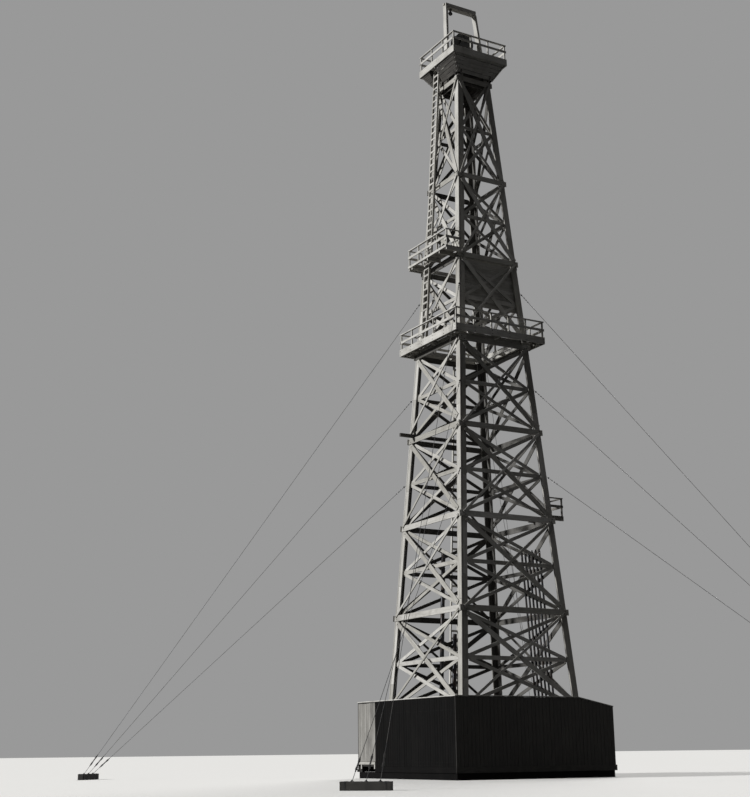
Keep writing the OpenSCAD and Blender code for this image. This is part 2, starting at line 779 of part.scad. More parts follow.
// Two timber posts on the crown deck, one upright and one leaning in, with the beam on
// them and the small pulley that hangs from it
module gin_frame() {
    z1 = gin_top - gin_s;
    pulley_x = -gin_left_x + gin_t + 90;
    color(wood) translate([0, gin_s / 2, 0]) rotate([90, 0, 0]) linear_extrude(height = gin_s) {
        translate([-gin_left_x - gin_t / 2, crown_top]) square([gin_t, gin_top - crown_top]);
        polygon([[gin_right_foot - gin_t / 2, crown_top], [gin_right_foot + gin_t / 2, crown_top],
                 [gin_right_head + gin_t / 2, gin_top], [gin_right_head - gin_t / 2, gin_top]]);
        translate([-gin_left_x - gin_t / 2, z1])
            square([gin_left_x + gin_right_head + gin_t, gin_s]);
    }
    color(iron) translate([pulley_x, 20, z1 - 110]) rotate([90, 0, 0]) cylinder(r = 60, h = 40, $fn = 40);
    color(iron) translate([pulley_x - 15, -15, z1 - 80]) cube([30, 30, 85]);
}

// A ladder on a side, from one height to another, cut level at its foot and its head;
// a is its middle along the side
module ladder(angle, a, z0, z1) {
    n = floor((z1 - z0) / rung_gap);
    intersection() {
        on_side(angle) translate([a, 0, ladder_c]) {
            for (s = [-1, 1])
                translate([s * (ladder_w - ladder_rail_w) / 2 - ladder_rail_w / 2, z0 * slope - ladder_rail_d, 0])
                    cube([ladder_rail_w, (z1 - z0) * slope + 2 * ladder_rail_d, ladder_rail_d]);
            for (i = [1 : n])
                translate([-ladder_w / 2 + 5, (z0 + (i - 0.4) * rung_gap) * slope,
                           ladder_rail_d - rung_t])
                    cube([ladder_w - 10, rung_w, rung_t]);
        }
        translate([-base_w, -base_w, z0]) cube([2 * base_w, 2 * base_w, z1 - z0]);
    }
}

// Ladders from the floor to the gallery, from there to the landing, and to the crown
module ladders() {
    color(wood) {
        ladder(BACK, -middle_ladder_y, floor_z, gallery_z);
        ladder(LEFT, -middle_ladder_y, gallery_top, landing_z + deck_joist_d - seat_gap);
        ladder(LEFT, -upper_ladder_y, landing_top, crown_top);
    }
}

// A pipe that leans on the inner planks of a side, with its foot cut level on the floor
module leaning_pipe(angle, a, r, l) {
    intersection() {
        on_side(angle) translate([a, 0, -inner - r - seat_gap]) rotate([-90, 0, 0])
            cylinder(r = r, h = (floor_z + l) * slope, $fn = 24);
        translate([-base_w, -base_w, floor_z]) cube([2 * base_w, 2 * base_w, 2 * l]);
    }
}

// Drill pipes on the floor that lean on the right side, and two of casing on the back
module pipe_stands() {
    color(iron) {
        for (i = [0 : pipe_n - 1])
            leaning_pipe(RIGHT, (i - (pipe_n - 1) / 2) * pipe_gap - pipe_y, pipe_r, pipe_l);
        leaning_pipe(BACK, 200, casing_r, casing_l);
        leaning_pipe(BACK, -190, casing_r, short_casing_l);
    }
}

// Wires from the legs' corners to the anchor logs, three to a corner, drawn in the
// upright plane through the corner and cut level on the log
module stays() {
    far = anchor_x * sqrt(2);
    color(iron) for (a = SIDES) rotate([0, 0, a + 45])
        intersection() {
            for (i = [0 : 2]) {
                near = half_at(stay_rows[i]) * sqrt(2);
                run = [far - near, (i - 1) * stay_gap, anchor_s - stay_rows[i]];
                fall = acos(run[2] / norm(run));
                k = lean * sqrt(2);
                start = stay_r * (k * sin(fall) - cos(fall)) / (sin(fall) + k * cos(fall)) + 2 * seat_gap;
                translate([near, 0, stay_rows[i]]) rotate([0, fall, atan2(run[1], run[0])])
                    translate([0, 0, start]) cylinder(r = stay_r, h = norm(run), $fn = 8);
            }
            translate([0, -far / 2, anchor_s]) cube([2 * far, far, tower_h]);
        }
}

// Logs on the ground, across the line of the stays
module stay_anchors() {
    color(dark_wood) for (a = SIDES) rotate([0, 0, a + 45])
        translate([anchor_x * sqrt(2) - anchor_s / 2, -anchor_l / 2, 0]) cube([anchor_s, anchor_l, anchor_s]);
}

sills();
floor_frame();
floor_deck();
front_wall();
left_wall();
back_wall();
right_wall();
pale_panel();
wall_frame();
front_left_leg();
back_left_leg();
front_right_leg();
back_right_leg();
front_girts();
left_girts();
back_girts();
right_girts();
front_lower_braces();
left_lower_braces();
back_lower_braces();
right_lower_braces();
front_upper_braces();
left_upper_braces();
back_upper_braces();
right_upper_braces();
windbreak();
cross_beams();
gallery_beams();
gallery_deck();
gallery_rail();
landing_beams();
landing_deck();
landing_rail();
side_landing();
crown_frame();
crown_brackets();
crown_deck();
crown_rail();
crown_block();
crown_sheaves();
gin_frame();
ladders();
pipe_stands();
stays();
stay_anchors();
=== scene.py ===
import math
import random

import bmesh
import bpy
import numpy as np
from mathutils import Matrix, Vector


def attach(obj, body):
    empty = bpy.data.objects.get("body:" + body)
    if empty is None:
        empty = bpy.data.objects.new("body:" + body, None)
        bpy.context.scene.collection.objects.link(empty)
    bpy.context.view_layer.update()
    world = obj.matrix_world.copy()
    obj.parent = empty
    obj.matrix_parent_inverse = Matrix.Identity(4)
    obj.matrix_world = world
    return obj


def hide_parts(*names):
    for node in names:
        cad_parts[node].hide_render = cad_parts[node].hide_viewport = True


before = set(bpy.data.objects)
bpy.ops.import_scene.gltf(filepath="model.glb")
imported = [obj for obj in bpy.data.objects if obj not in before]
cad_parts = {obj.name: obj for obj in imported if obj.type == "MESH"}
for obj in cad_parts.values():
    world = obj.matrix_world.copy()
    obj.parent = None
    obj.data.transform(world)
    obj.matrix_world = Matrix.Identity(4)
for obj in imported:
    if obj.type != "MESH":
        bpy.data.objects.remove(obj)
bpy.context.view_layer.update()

# Camera and light
# The camera stands on the ground about 34 m off, to the left of the front corner, and
# looks up at 15 degrees. Its frame is turned a little. All lengths are in metres.
FILM_HEIGHT, LENS = 36.0, 59.72
EYE = (-18.87, -27.79, 0.625)
AHEAD = Vector((0.4801, 0.8383, 0.2584))
ROLL = math.radians(-0.61)


def put_in_scene(name, data):
    """A new object that holds the data."""
    made = bpy.data.objects.new(name, data)
    bpy.context.scene.collection.objects.link(made)
    return made


eye_level = AHEAD.cross(Vector((0, 0, 1))).normalized()
upward = eye_level.cross(AHEAD).normalized()
film_right = eye_level * math.cos(ROLL) + upward * math.sin(ROLL)
film_up = film_right.cross(AHEAD).normalized()
lens = bpy.data.cameras.new("camera")
lens.lens, lens.sensor_width = LENS, FILM_HEIGHT
lens.clip_start, lens.clip_end = 0.1, 1000
camera = put_in_scene("camera", lens)
aim = Matrix((film_right, film_up, -AHEAD)).transposed().to_4x4()
camera.matrix_world = Matrix.Translation(EYE) @ aim
bpy.context.scene.camera = camera
bpy.context.scene.view_settings.view_transform = "Standard"


def paint(code):
    """An sRGB hex colour as linear red, green, blue and alpha."""
    shares = [int(code[i : i + 2], 16) / 255 for i in (1, 3, 5)]
    return tuple(s / 12.92 if s < 0.04045 else ((s + 0.055) / 1.055) ** 2.4 for s in shares) + (1,)


def feed(node, links):
    """Sets each input of the node, or links it to a socket or to a node's first output."""
    for key, value in links.items():
        if isinstance(value, bpy.types.Node):
            value = value.outputs[0]
        if isinstance(value, bpy.types.NodeSocket):
            node.id_data.links.new(value, node.inputs[key])
        else:
            node.inputs[key].default_value = value


def add(tree, kind, links=None, **settings):
    """A node with its settings and what is fed to its inputs."""
    node = tree.nodes.new(kind)
    for key, value in settings.items():
        setattr(node, key, value)
    feed(node, links or {})
    return node


def seen_directly(tree):
    """One for rays from the lens or off gloss or through glass, and nought for all others."""
    ray = add(tree, "ShaderNodeLightPath").outputs
    either = {0: ray["Is Camera Ray"], 1: ray["Is Glossy Ray"]}
    either = add(tree, "ShaderNodeMath", either, operation="MAXIMUM")
    either = {0: either, 1: ray["Is Transmission Ray"]}
    return add(tree, "ShaderNodeMath", either, operation="MAXIMUM")


# One hard lamp low on the left, as in the picture, a soft one from behind on the right
# for the far sides, and a soft one overhead.
for name, towards, strength, softness in (
    ("low lamp", (1, -0.22, -0.32), 3.9, 4),
    ("far lamp", (-0.70, -0.75, -0.45), 2.3, 30),
    ("top lamp", (0.02, 0.02, -1), 0.9, 20),
):
    lamp = bpy.data.lights.new(name, "SUN")
    lamp.energy, lamp.angle = strength, math.radians(softness)
    holder = put_in_scene(name, lamp)
    holder.rotation_mode = "QUATERNION"
    holder.rotation_quaternion = Vector(towards).to_track_quat("-Z", "Y")

# The pale grey backdrop is what the lens sees; the object gets a weaker sky.
sky = bpy.data.worlds.new("backdrop")
sky.use_nodes = True
tree = sky.node_tree
tree.nodes.clear()
fill = add(tree, "ShaderNodeBackground", {"Color": (0.042, 0.042, 0.044, 1), "Strength": 1})
shown = add(tree, "ShaderNodeBackground", {"Color": paint("#999999"), "Strength": 1})
mixed = add(tree, "ShaderNodeMixShader", {0: seen_directly(tree), 1: fill, 2: shown})
add(tree, "ShaderNodeOutputWorld", {"Surface": mixed})
bpy.context.scene.world = sky

# A plain pale floor. It throws little light back on the timbers' shaded sides.
FLOOR_HALF = 400
ground = bpy.data.meshes.new("floor")
edges = [(x * FLOOR_HALF, y * FLOOR_HALF, 0) for x, y in ((-1, -1), (1, -1), (1, 1), (-1, 1))]
ground.from_pydata(edges, [], [(0, 1, 2, 3)])
floor = put_in_scene("floor", ground)
chalk = bpy.data.materials.new("pale studio floor")
chalk.use_nodes = True
tree = chalk.node_tree
tree.nodes.clear()
pale = add(tree, "ShaderNodeBsdfDiffuse", {"Color": paint("#E6E5E2")})
dull = add(tree, "ShaderNodeBsdfDiffuse", {"Color": (0.03, 0.03, 0.03, 1)})
mixed = add(tree, "ShaderNodeMixShader", {0: seen_directly(tree), 1: dull, 2: pale})
add(tree, "ShaderNodeOutputMaterial", {"Surface": mixed})
ground.materials.append(chalk)

# Timber
# Rough-sawn pine, bleached silver grey by sun and rain: dry and matt, with dark open
# grain along each plank, stains that run down, and no two planks of one tone.
NOISE, RANGE, MIX = "ShaderNodeTexNoise", "ShaderNodeMapRange", "ShaderNodeMix"


def new_material(name):
    """A material, its node tree and its shader."""
    made = bpy.data.materials.new(name)
    made.use_nodes = True
    return made, made.node_tree, made.node_tree.nodes["Principled BSDF"]


def timber(name, light, dark, stain, streak_tone, roughness, grain_depth, shine=0.3):
    """Rough-sawn wood whose grain follows each plank's own length."""
    wood, tree, bsdf = new_material(name)
    along = add(tree, "ShaderNodeAttribute", attribute_name="along").outputs["Vector"]
    tone = add(tree, "ShaderNodeAttribute", attribute_name="tone").outputs["Fac"]
    place = add(tree, "ShaderNodeTexCoord").outputs["Object"]
    # growth rings cut lengthwise: 6 mm apart across the plank, 250 mm along it
    rings = add(tree, "ShaderNodeMapping", {"Vector": along, "Scale": (4, 160, 160)})
    grain = add(tree, NOISE, {"Vector": rings, "Scale": 1, "Detail": 3, "Roughness": 0.6})
    # bleached and stained lengths of a plank, about 300 mm long and 40 mm wide
    lengths = add(tree, "ShaderNodeMapping", {"Vector": along, "Scale": (3, 24, 24)})
    bleach = add(tree, NOISE, {"Vector": lengths, "Scale": 1, "Detail": 4, "Roughness": 0.55})
    # rain stains down the structure, half a metre wide
    runs = add(tree, "ShaderNodeMapping", {"Vector": place, "Scale": (2.2, 2.2, 0.7)})
    rain = add(tree, NOISE, {"Vector": runs, "Scale": 1, "Detail": 5, "Roughness": 0.6})
    wide = add(tree, RANGE, {"Value": tone, "To Max": 0.75})
    patch = add(tree, RANGE, {"Value": bleach, "From Min": 0.35, "From Max": 0.7, "To Max": 0.45})
    both = add(tree, "ShaderNodeMath", {0: wide, 1: patch}, operation="ADD", use_clamp=True)
    plain = add(tree, MIX, {0: both, 6: paint(light), 7: paint(dark)}, data_type="RGBA")
    wet = add(tree, RANGE, {"Value": rain, "From Min": 0.5, "From Max": 0.78, "To Max": streak_tone})
    stained = add(tree, MIX, {0: wet, 6: plain.outputs[2], 7: paint(stain)}, data_type="RGBA")
    open_grain = add(tree, RANGE, {"Value": grain, "From Min": 0.5, "From Max": 0.75, "To Max": 0.4})
    lined = add(tree, MIX, {0: open_grain, 6: stained.outputs[2], 7: paint(stain)}, data_type="RGBA")
    # painted shade on the inner faces of the tower's planks, which lie in shade inside the lattice:
    # darkened towards near black, a little less where the rain noise is high
    splashed = add(tree, "ShaderNodeAttribute", attribute_name="splashed").outputs["Fac"]
    thin = {"Value": rain, "From Min": 0.3, "From Max": 0.7, "To Min": 0.95, "To Max": 0.7}
    thin = add(tree, RANGE, thin)
    inner_shade_share = add(tree, "ShaderNodeMath", {0: splashed, 1: thin}, operation="MULTIPLY")
    oiled = add(tree, MIX, {0: inner_shade_share, 6: lined.outputs[2], 7: paint("#2B2927")}, data_type="RGBA")
    rough = add(tree, RANGE, {"Value": bleach, "To Min": roughness - 0.08, "To Max": roughness + 0.08})
    bump = add(tree, "ShaderNodeBump", {"Height": grain, "Strength": 0.6, "Distance": grain_depth})
    feed(bsdf, {"Base Color": oiled.outputs[2], "Roughness": rough, "Normal": bump})
    feed(bsdf, {"IOR": 1.5, "Specular IOR Level": shine})
    return wood


weathered_pine = timber("weathered sawn pine", "#C9C7C2", "#98968F", "#635F59", 0.55, 0.85, 0.0015)
tarred_pine = timber("tarred pine boards", "#2E2D2B", "#1E1D1C", "#474541", 0.55, 0.7, 0.002, 0.2)
# painted shade: a blacker copy of the tarred boards for the faces that the low lamp lights, so that they
# read as dark as the shaded front
tar_darkened_as_shade = timber("tarred pine darkened as painted shade", "#0E0D0D", "#090909", "#1A1918", 0.5, 0.75, 0.002, 0.05)
oiled_pine = timber("oil-soaked pine boards", "#7C7973", "#383633", "#302E2C", 0.5, 0.7, 0.0015)
trodden_pine = timber("trodden pine boards", "#A3A09A", "#76736D", "#494641", 0.6, 0.85, 0.0015)
limed_pine = timber("limewashed pine boards", "#9B9994", "#7A7873", "#444240", 0.85, 0.8, 0.0012)


def put_attributes(mesh, **fields):
    """Writes one value for each point under each name."""
    kinds = {1: ("FLOAT", "value"), 3: ("FLOAT_VECTOR", "vector"), 4: ("QUATERNION", "value")}
    for key, rows in fields.items():
        rows = np.array(rows, np.float32).reshape(len(mesh.vertices), -1)
        kind, part = kinds[rows.shape[1]]
        mesh.attributes.new(key, kind, "POINT").data.foreach_set(part, rows.ravel())


# Every plank is cut by one Geometry Nodes tree: a plank blank at each place, drawn out
# to its length, width and thickness with its edges dressed off, and turned as nailed.
blank_mesh = bpy.data.meshes.new("plank blank")
bm = bmesh.new()
bmesh.ops.create_cube(bm, size=1)
bmesh.ops.bevel(bm, geom=bm.edges[:], offset=0.1, segments=1, affect="EDGES")
corners = [[math.copysign(0.5, c) for c in v.co] for v in bm.verts]
nicks = [[math.copysign(1, c) if abs(c) < 0.45 else 0 for c in v.co] for v in bm.verts]
for v in bm.verts:
    v.co = (0, 0, 0)
bm.to_mesh(blank_mesh)
bm.free()
put_attributes(blank_mesh, corner=corners, nick=nicks)
blank = bpy.data.objects.new("plank blank", blank_mesh)


def new_tree(name, inputs, output):
    """A Geometry Nodes tree with named inputs, and the sockets that give them."""
    tree = bpy.data.node_groups.new(name, "GeometryNodeTree")
    tree.is_modifier = True
    for label, kind in inputs.items():
        tree.interface.new_socket(name=label, in_out="INPUT", socket_type="NodeSocket" + kind)
    tree.interface.new_socket(name=output, in_out="OUTPUT", socket_type="NodeSocketGeometry")
    return tree, add(tree, "NodeGroupInput").outputs


sawmill, given = new_tree(
    "sawn planks",
    {"Places": "Geometry", "Blank": "Object", "Dressed edge": "Float", "Timber": "Material"},
    "Planks",
)
read = {
    key: add(sawmill, "GeometryNodeInputNamedAttribute", {"Name": key}, data_type=kind)
    for kind, keys in (
        ("FLOAT_VECTOR", ("corner", "nick", "size", "log")),
        ("QUATERNION", ("turn",)),
        ("FLOAT", ("oiled",)),
    )
    for key in keys
}
cut = add(sawmill, "GeometryNodeObjectInfo", {"Object": given["Blank"]}).outputs["Geometry"]
laid = add(sawmill, "GeometryNodeInstanceOnPoints", {"Points": given["Places"], "Instance": cut})
real = add(sawmill, "GeometryNodeRealizeInstances", {0: laid})
full = add(sawmill, "ShaderNodeVectorMath", {0: read["corner"], 1: read["size"]}, operation="MULTIPLY")
edge = {0: read["nick"], "Scale": given["Dressed edge"]}
edge = add(sawmill, "ShaderNodeVectorMath", edge, operation="SCALE")
form = add(sawmill, "ShaderNodeVectorMath", {0: full, 1: edge}, operation="SUBTRACT")
turned = add(sawmill, "FunctionNodeRotateVector", {0: form, 1: read["turn"]})
drawn = add(sawmill, "GeometryNodeSetPosition", {"Geometry": real, "Offset": turned})
grain_at = add(sawmill, "ShaderNodeVectorMath", {0: form, 1: read["log"]}, operation="ADD")
# the inner face of each plank is marked for the painted shade that the timber material puts on it
depth = add(sawmill, "ShaderNodeSeparateXYZ", {0: read["corner"]}).outputs["Z"]
inward = add(sawmill, "ShaderNodeMath", {0: 0.5, 1: depth}, operation="SUBTRACT")
splashed = add(sawmill, "ShaderNodeMath", {0: inward, 1: read["oiled"]}, operation="MULTIPLY")
for key, value, kind in (("along", grain_at, "FLOAT_VECTOR"), ("splashed", splashed, "FLOAT")):
    kept = {"Geometry": drawn, "Name": key, "Value": value}
    drawn = add(sawmill, "GeometryNodeStoreNamedAttribute", kept, data_type=kind, domain="POINT")
finish = add(sawmill, "GeometryNodeSetMaterial", {"Geometry": drawn, "Material": given["Timber"]})
add(sawmill, "NodeGroupOutput", {0: finish})

DRESSED_EDGE = 0.0025
dice = random.Random(1912)


def plank(start, end, outward, width, thickness, tone=None, oiled=0):
    """A plank from start to end along its middle, its broad face looking outward.

    The last argument is how far the other face is darkened as painted shade, for faces that lie in shade
    inside the lattice.
    """
    start, end = Vector(start), Vector(end)
    long_way = (end - start).normalized()
    across = Vector(outward).cross(long_way).normalized()
    facing = long_way.cross(across)
    return (
        (start + end) / 2,
        ((end - start).length, width, thickness),
        Matrix((long_way, across, facing)).transposed().to_quaternion(),
        dice.random() if tone is None else tone,
        [dice.uniform(-50, 50) for _ in range(3)],
        oiled,
    )


def grow(name, places, tree, inputs, **fields):
    """The plain mesh that a Geometry Nodes tree makes on points with these attributes."""
    seeds = bpy.data.meshes.new(name + " places")
    seeds.from_pydata([tuple(p) for p in places], [], [])
    put_attributes(seeds, **fields)
    made = put_in_scene(name, seeds)
    modifier = made.modifiers.new(tree.name, "NODES")
    modifier.node_group = tree
    for item in tree.interface.items_tree:
        if item.in_out == "INPUT" and item.name in inputs:
            modifier[item.identifier] = inputs[item.name]
    depsgraph = bpy.context.evaluated_depsgraph_get()
    grown = made.evaluated_get(depsgraph)
    mesh = bpy.data.meshes.new_from_object(grown, preserve_all_data_layers=True, depsgraph=depsgraph)
    made.modifiers.clear()
    made.data = mesh
    bpy.data.meshes.remove(seeds)
    mesh.name = name
    spares = ("corner", "nick", "size", "turn", "log", "oiled", "facing")
    for spare in [a.name for a in mesh.attributes if a.name in spares]:
        mesh.attributes.remove(mesh.attributes[spare])
    return made


def nail_up(name, planks, material, slot, *nodes):
    """Cuts the planks as one piece of the derrick that stands for CAD nodes."""
    piece = grow(
        name,
        [p[0] for p in planks],
        sawmill,
        {"Blank": blank, "Dressed edge": DRESSED_EDGE, "Timber": material},
        size=[p[1] for p in planks],
        turn=[tuple(p[2]) for p in planks],
        tone=[p[3] for p in planks],
        log=[p[4] for p in planks],
        oiled=[p[5] for p in planks],
    )
    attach(piece, "derrick")
    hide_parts(*nodes)


# Bolts
# Square-headed iron bolts on round plate washers, black with rust, at every joint of
# the tower; the heads are 14 mm across on the model.


def iron(name, scale_tone, rust_tone, blooms, metallic, smooth, dull, pit_depth):
    """Black mill scale or grease with rust on it, in so many blooms a metre."""
    metal, tree, bsdf = new_material(name)
    place = add(tree, "ShaderNodeTexCoord").outputs["Object"]
    bloom = add(tree, NOISE, {"Vector": place, "Scale": blooms, "Detail": 6, "Roughness": 0.65})
    rust = add(tree, RANGE, {"Value": bloom, "From Min": 0.48, "From Max": 0.72})
    tinted = add(tree, MIX, {0: rust, 6: paint(scale_tone), 7: paint(rust_tone)}, data_type="RGBA")
    rough = add(tree, RANGE, {"Value": rust, "To Min": smooth, "To Max": dull})
    pits = add(tree, "ShaderNodeBump", {"Height": bloom, "Strength": 0.4, "Distance": pit_depth})
    feed(bsdf, {"Base Color": tinted.outputs[2], "Roughness": rough, "Normal": pits})
    feed(bsdf, {"Metallic": metallic})
    return metal


# rust blooms 20 to 60 mm across over the black scale
wrought = iron("rusty black iron", "#1D1D1E", "#3A3633", 22, 0.6, 0.45, 0.85, 0.001)

bolter, given = new_tree(
    "bolt heads",
    {"Places": "Geometry", "Head across": "Float", "Washer across": "Float", "Iron": "Material"},
    "Bolts",
)
half, round_half, thick = [
    add(bolter, "ShaderNodeMath", {0: given[label], 1: share}, operation="MULTIPLY")
    for label, share in (("Head across", 0.71), ("Washer across", 0.5), ("Washer across", 0.12))
]
one = add(bolter, "GeometryNodeJoinGeometry")
for sides, radius, depth in ((4, half, given["Head across"]), (10, round_half, thick)):
    shape = {"Vertices": sides, "Radius": radius, "Depth": depth}
    feed(one, {0: add(bolter, "GeometryNodeMeshCylinder", shape)})
facing = add(bolter, "GeometryNodeInputNamedAttribute", {"Name": "facing"}, data_type="FLOAT_VECTOR")
aimed = add(bolter, "FunctionNodeAlignRotationToVector", {"Vector": facing}, axis="Z")
driven = {"Points": given["Places"], "Instance": one, "Rotation": aimed}
driven = add(bolter, "GeometryNodeInstanceOnPoints", driven)
real = add(bolter, "GeometryNodeRealizeInstances", {0: driven})
finish = add(bolter, "GeometryNodeSetMaterial", {"Geometry": real, "Material": given["Iron"]})
add(bolter, "NodeGroupOutput", {0: finish})


def drive_bolts(name, places, head=0.014, washer=0.028):
    """Bolt heads at (point, facing) places, as one piece of iron."""
    sizes = {"Head across": head, "Washer across": washer, "Iron": wrought}
    piece = grow(name, [p for p, _ in places], bolter, sizes, facing=[tuple(f) for _, f in places])
    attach(piece, "derrick")


# Sills and floor
# Squared timbers lie on the ground under the rows of posts, with short ones between
# their ends and pads under the legs. Four bearers on short posts carry the floor
# planks, which are cut off round the legs and over the well.
BASE, TOP, TOWER = 3.630, 0.992, 18.975
LEG_W, LEG_T = 0.175, 0.050
LEAN = (BASE - TOP) / 2 / TOWER
SLOPE = math.sqrt(1 + LEAN * LEAN)
FRONT, RIGHT, BACK, LEFT = range(4)
SIDE_NAMES = ("front", "right", "back", "left")
IN_W, FLOOR_W, FLOOR_TOP, FLOOR_T = 4.470, 4.330, 0.600, 0.030
SILL, SILL_REACH, LEG_PAD = 0.150, 2.160, 0.360
JOIST_W, JOIST_D, FLOOR_POST, WELL = 0.090, 0.150, 0.120, 0.700
JOIST_Z = FLOOR_TOP - FLOOR_T - JOIST_D
GAP = 0.0003
# half the gap between two boards, and the gap at the butt joint of a board's lengths
SEAM, BUTT = 0.0015, 0.002


def half_at(z):
    """Half the tower's width at height z."""
    return BASE / 2 - LEAN * z


def turned_to(side):
    """The turn from the front to a side of the tower."""
    return Matrix.Rotation(side * math.pi / 2, 3, "Z")


def on_side(side, x, z, c):
    """A point x along a side at height z, c out from the side's plane."""
    y = z * SLOPE
    flat = Vector((x, (LEAN * y - c) / SLOPE - BASE / 2, (y + LEAN * c) / SLOPE))
    return turned_to(side) @ flat


def outward(side):
    """Which way a leaning side looks."""
    return on_side(side, 0, 0, 1) - on_side(side, 0, 0, 0)


def beam(low, high, tone=None):
    """A timber that fills a box, its grain along its longest way."""
    low, high = Vector(low), Vector(high)
    spans = high - low
    long, broad, thin = sorted(range(3), key=lambda i: -spans[i])
    start, end = (low + high) / 2, (low + high) / 2
    start[long], end[long] = low[long], high[long]
    facing = Vector((0, 0, 0))
    facing[thin] = 1
    return plank(start, end, facing, spans[broad], spans[thin], tone)


def joist(x0, x1, y, z0, z1, width):
    """A timber along X with its middle line over y."""
    return beam((x0, y - width / 2, z0), (x1, y + width / 2, z1))


def moved(planks, side, to=(0, 0, 0)):
    """The planks turned to a side of the tower, then set down."""
    turn = turned_to(side)
    return [(turn @ p[0] + Vector(to), p[1], turn.to_quaternion() @ p[2], *p[3:]) for p in planks]


def decking(low, high, width, holes=(), way=0, longest=2.6, tones=(0, 1)):
    """Boards side by side over a rectangle, with joints at random and holes sawn out."""
    other = 1 - way
    count = max(1, round((high[other] - low[other]) / width))
    step = (high[other] - low[other]) / count
    made = []
    for i in range(count):
        edge = low[other] + i * step
        stretches = [(low[way], high[way])]
        for a, b in holes:
            if min(edge + step, b[other]) - max(edge, a[other]) > 0.3 * step:
                cut = [s for p, q in stretches for s in ((p, min(q, a[way])), (max(p, b[way]), q))]
                stretches = [(p, q) for p, q in cut if q - p > 0.03]
        for p, q in stretches:
            while q - p > 0.01:
                r = q if q - p < longest * 1.3 else p + longest * dice.uniform(0.7, 1)
                ends = sorted(((p, edge + SEAM), (r - BUTT, edge + step - SEAM)))
                lo, hi = [list(e) if way == 0 else [e[1], e[0]] for e in ends]
                drop = dice.uniform(0, 0.0015)
                made.append(beam(lo + [low[2]], hi + [high[2] - drop], dice.uniform(*tones)))
                p = r
    return made


planks = []
for row in (-1, -0.5, 0, 0.5, 1):
    y = row * SILL_REACH
    planks.append(joist(-IN_W / 2, IN_W / 2, y, 0, SILL, SILL))
    if row < 1:
        for x in (-SILL_REACH, SILL_REACH):
            end = y + SILL_REACH / 2 - SILL / 2 - GAP
            planks.append(beam((x - SILL / 2, y + SILL / 2 + GAP, 0), (x + SILL / 2, end, SILL)))
half_pad, pad_top = Vector((LEG_PAD / 2, LEG_PAD / 2, 0)), Vector((0, 0, SILL - 0.0005))
for x in (-1, 1):
    for y in (-1, 1):
        at = Vector((x, y, 0)) * (BASE - LEG_W) / 2
        planks.append(beam(at - half_pad, at + half_pad + pad_top))
# the sills take the blacker copy, as painted shade where the low lamp lights them under the walls
nail_up("ground_sills", planks, tar_darkened_as_shade, "tarred_timber", "sills")

planks = []
for row in (-1, -0.4, 0.4, 1):
    x, reach = row * (FLOOR_W / 2 - JOIST_W), FLOOR_W / 2
    planks.append(beam((x - JOIST_W / 2, -reach, JOIST_Z), (x + JOIST_W / 2, reach, JOIST_Z + JOIST_D)))
    for y in (-0.5, 0, 0.5):
        low = (x - FLOOR_POST / 2, y * SILL_REACH - FLOOR_POST / 2, SILL)
        planks.append(beam(low, (x + FLOOR_POST / 2, y * SILL_REACH + FLOOR_POST / 2, JOIST_Z)))
nail_up("floor_bearers", planks, tarred_pine, "tarred_timber", "floor_frame")

round_leg = LEG_W / 2 + 0.03
leg_at = half_at(FLOOR_TOP) - LEG_W / 2
holes = [((-WELL / 2, -WELL / 2), (WELL / 2, WELL / 2))]
for x in (-leg_at, leg_at):
    for y in (-leg_at, leg_at):
        holes.append(((x - round_leg, y - round_leg), (x + round_leg, y + round_leg)))
low = (-FLOOR_W / 2, -FLOOR_W / 2, FLOOR_TOP - FLOOR_T)
planks = decking(low, (FLOOR_W / 2, FLOOR_W / 2, FLOOR_TOP), 0.12, holes)
nail_up("floor_planks", planks, trodden_pine, "weathered_timber", "floor_deck")

# The four legs
# Each corner post is an angle of two flanges, and each flange two thicknesses of plank
# nailed together with their butt joints staggered, from the sill to the crown beams.
PLANK_T, LEG_STOCK, JOINT = 0.025, 2.45, 0.003
LEGS = {"front_left_leg": LEFT, "front_right_leg": FRONT, "back_right_leg": RIGHT, "back_left_leg": BACK}


def flange(side, end, inset, layer, first):
    """One thickness of a leg's flange, in lengths; inset is from the corner line."""
    width = LEG_W - inset
    c = -PLANK_T * (layer + 0.5)
    joints = [SILL + 0.012]
    while joints[-1] < TOWER - 0.02:
        joints.append(min(joints[-1] + (first if len(joints) == 1 else LEG_STOCK), TOWER - 0.012))
    made = []
    for low, high in zip(joints, joints[1:]):
        if high - low >= 0.2:
            spots = [(end * (half_at(z) - inset - width / 2), z) for z in (low + JOINT, high)]
            ends = [on_side(side, *spot, c) for spot in spots]
            made.append(plank(*ends, outward(side), width, PLANK_T, oiled=layer))
    return made


for name, side in LEGS.items():
    planks = []
    for layer, first in ((0, 1.5), (1, 2.45)):
        planks += flange(side, 1, 0, layer, first)
        planks += flange((side + 1) % 4, -1, LEG_T, layer, first + 0.6)
    nail_up(name.replace("_leg", "_post"), planks, weathered_pine, "weathered_timber", name)

# Girts
# The level planks that tie the legs together, one row every 2.3 m, nailed on the faces
# of the legs. On the front and the back they run past the legs' edges.
GIRT_W, GIRT_RUN = 0.145, 0.060
LEVELS = [1.610, 3.905, 6.200, 8.495, 10.790, 13.140, 15.490, 18.4825]
PERCH_ROW, CROSS_ROW, GALLERY_ROW, LANDING_ROW = 2, 3, 4, 5
LANDING_DROP = 0.085


def crosswise(side):
    """Whether a side is the left or the right one."""
    return side in (LEFT, RIGHT)


def row_z(row, side):
    """Height of a row's girt on a side; two lie lower, to carry the landing's beams."""
    return LEVELS[row] - (LANDING_DROP if row == LANDING_ROW and crosswise(side) else 0)


def seat(z):
    """The height at which a beam bears on a leaning girt."""
    return z + (GIRT_W / 2 + PLANK_T * LEAN) / SLOPE


def level(side, reach, z, c):
    """The two ends of a level plank on a side, c out from the side's plane."""
    return on_side(side, -reach, z, c), on_side(side, reach, z, c)


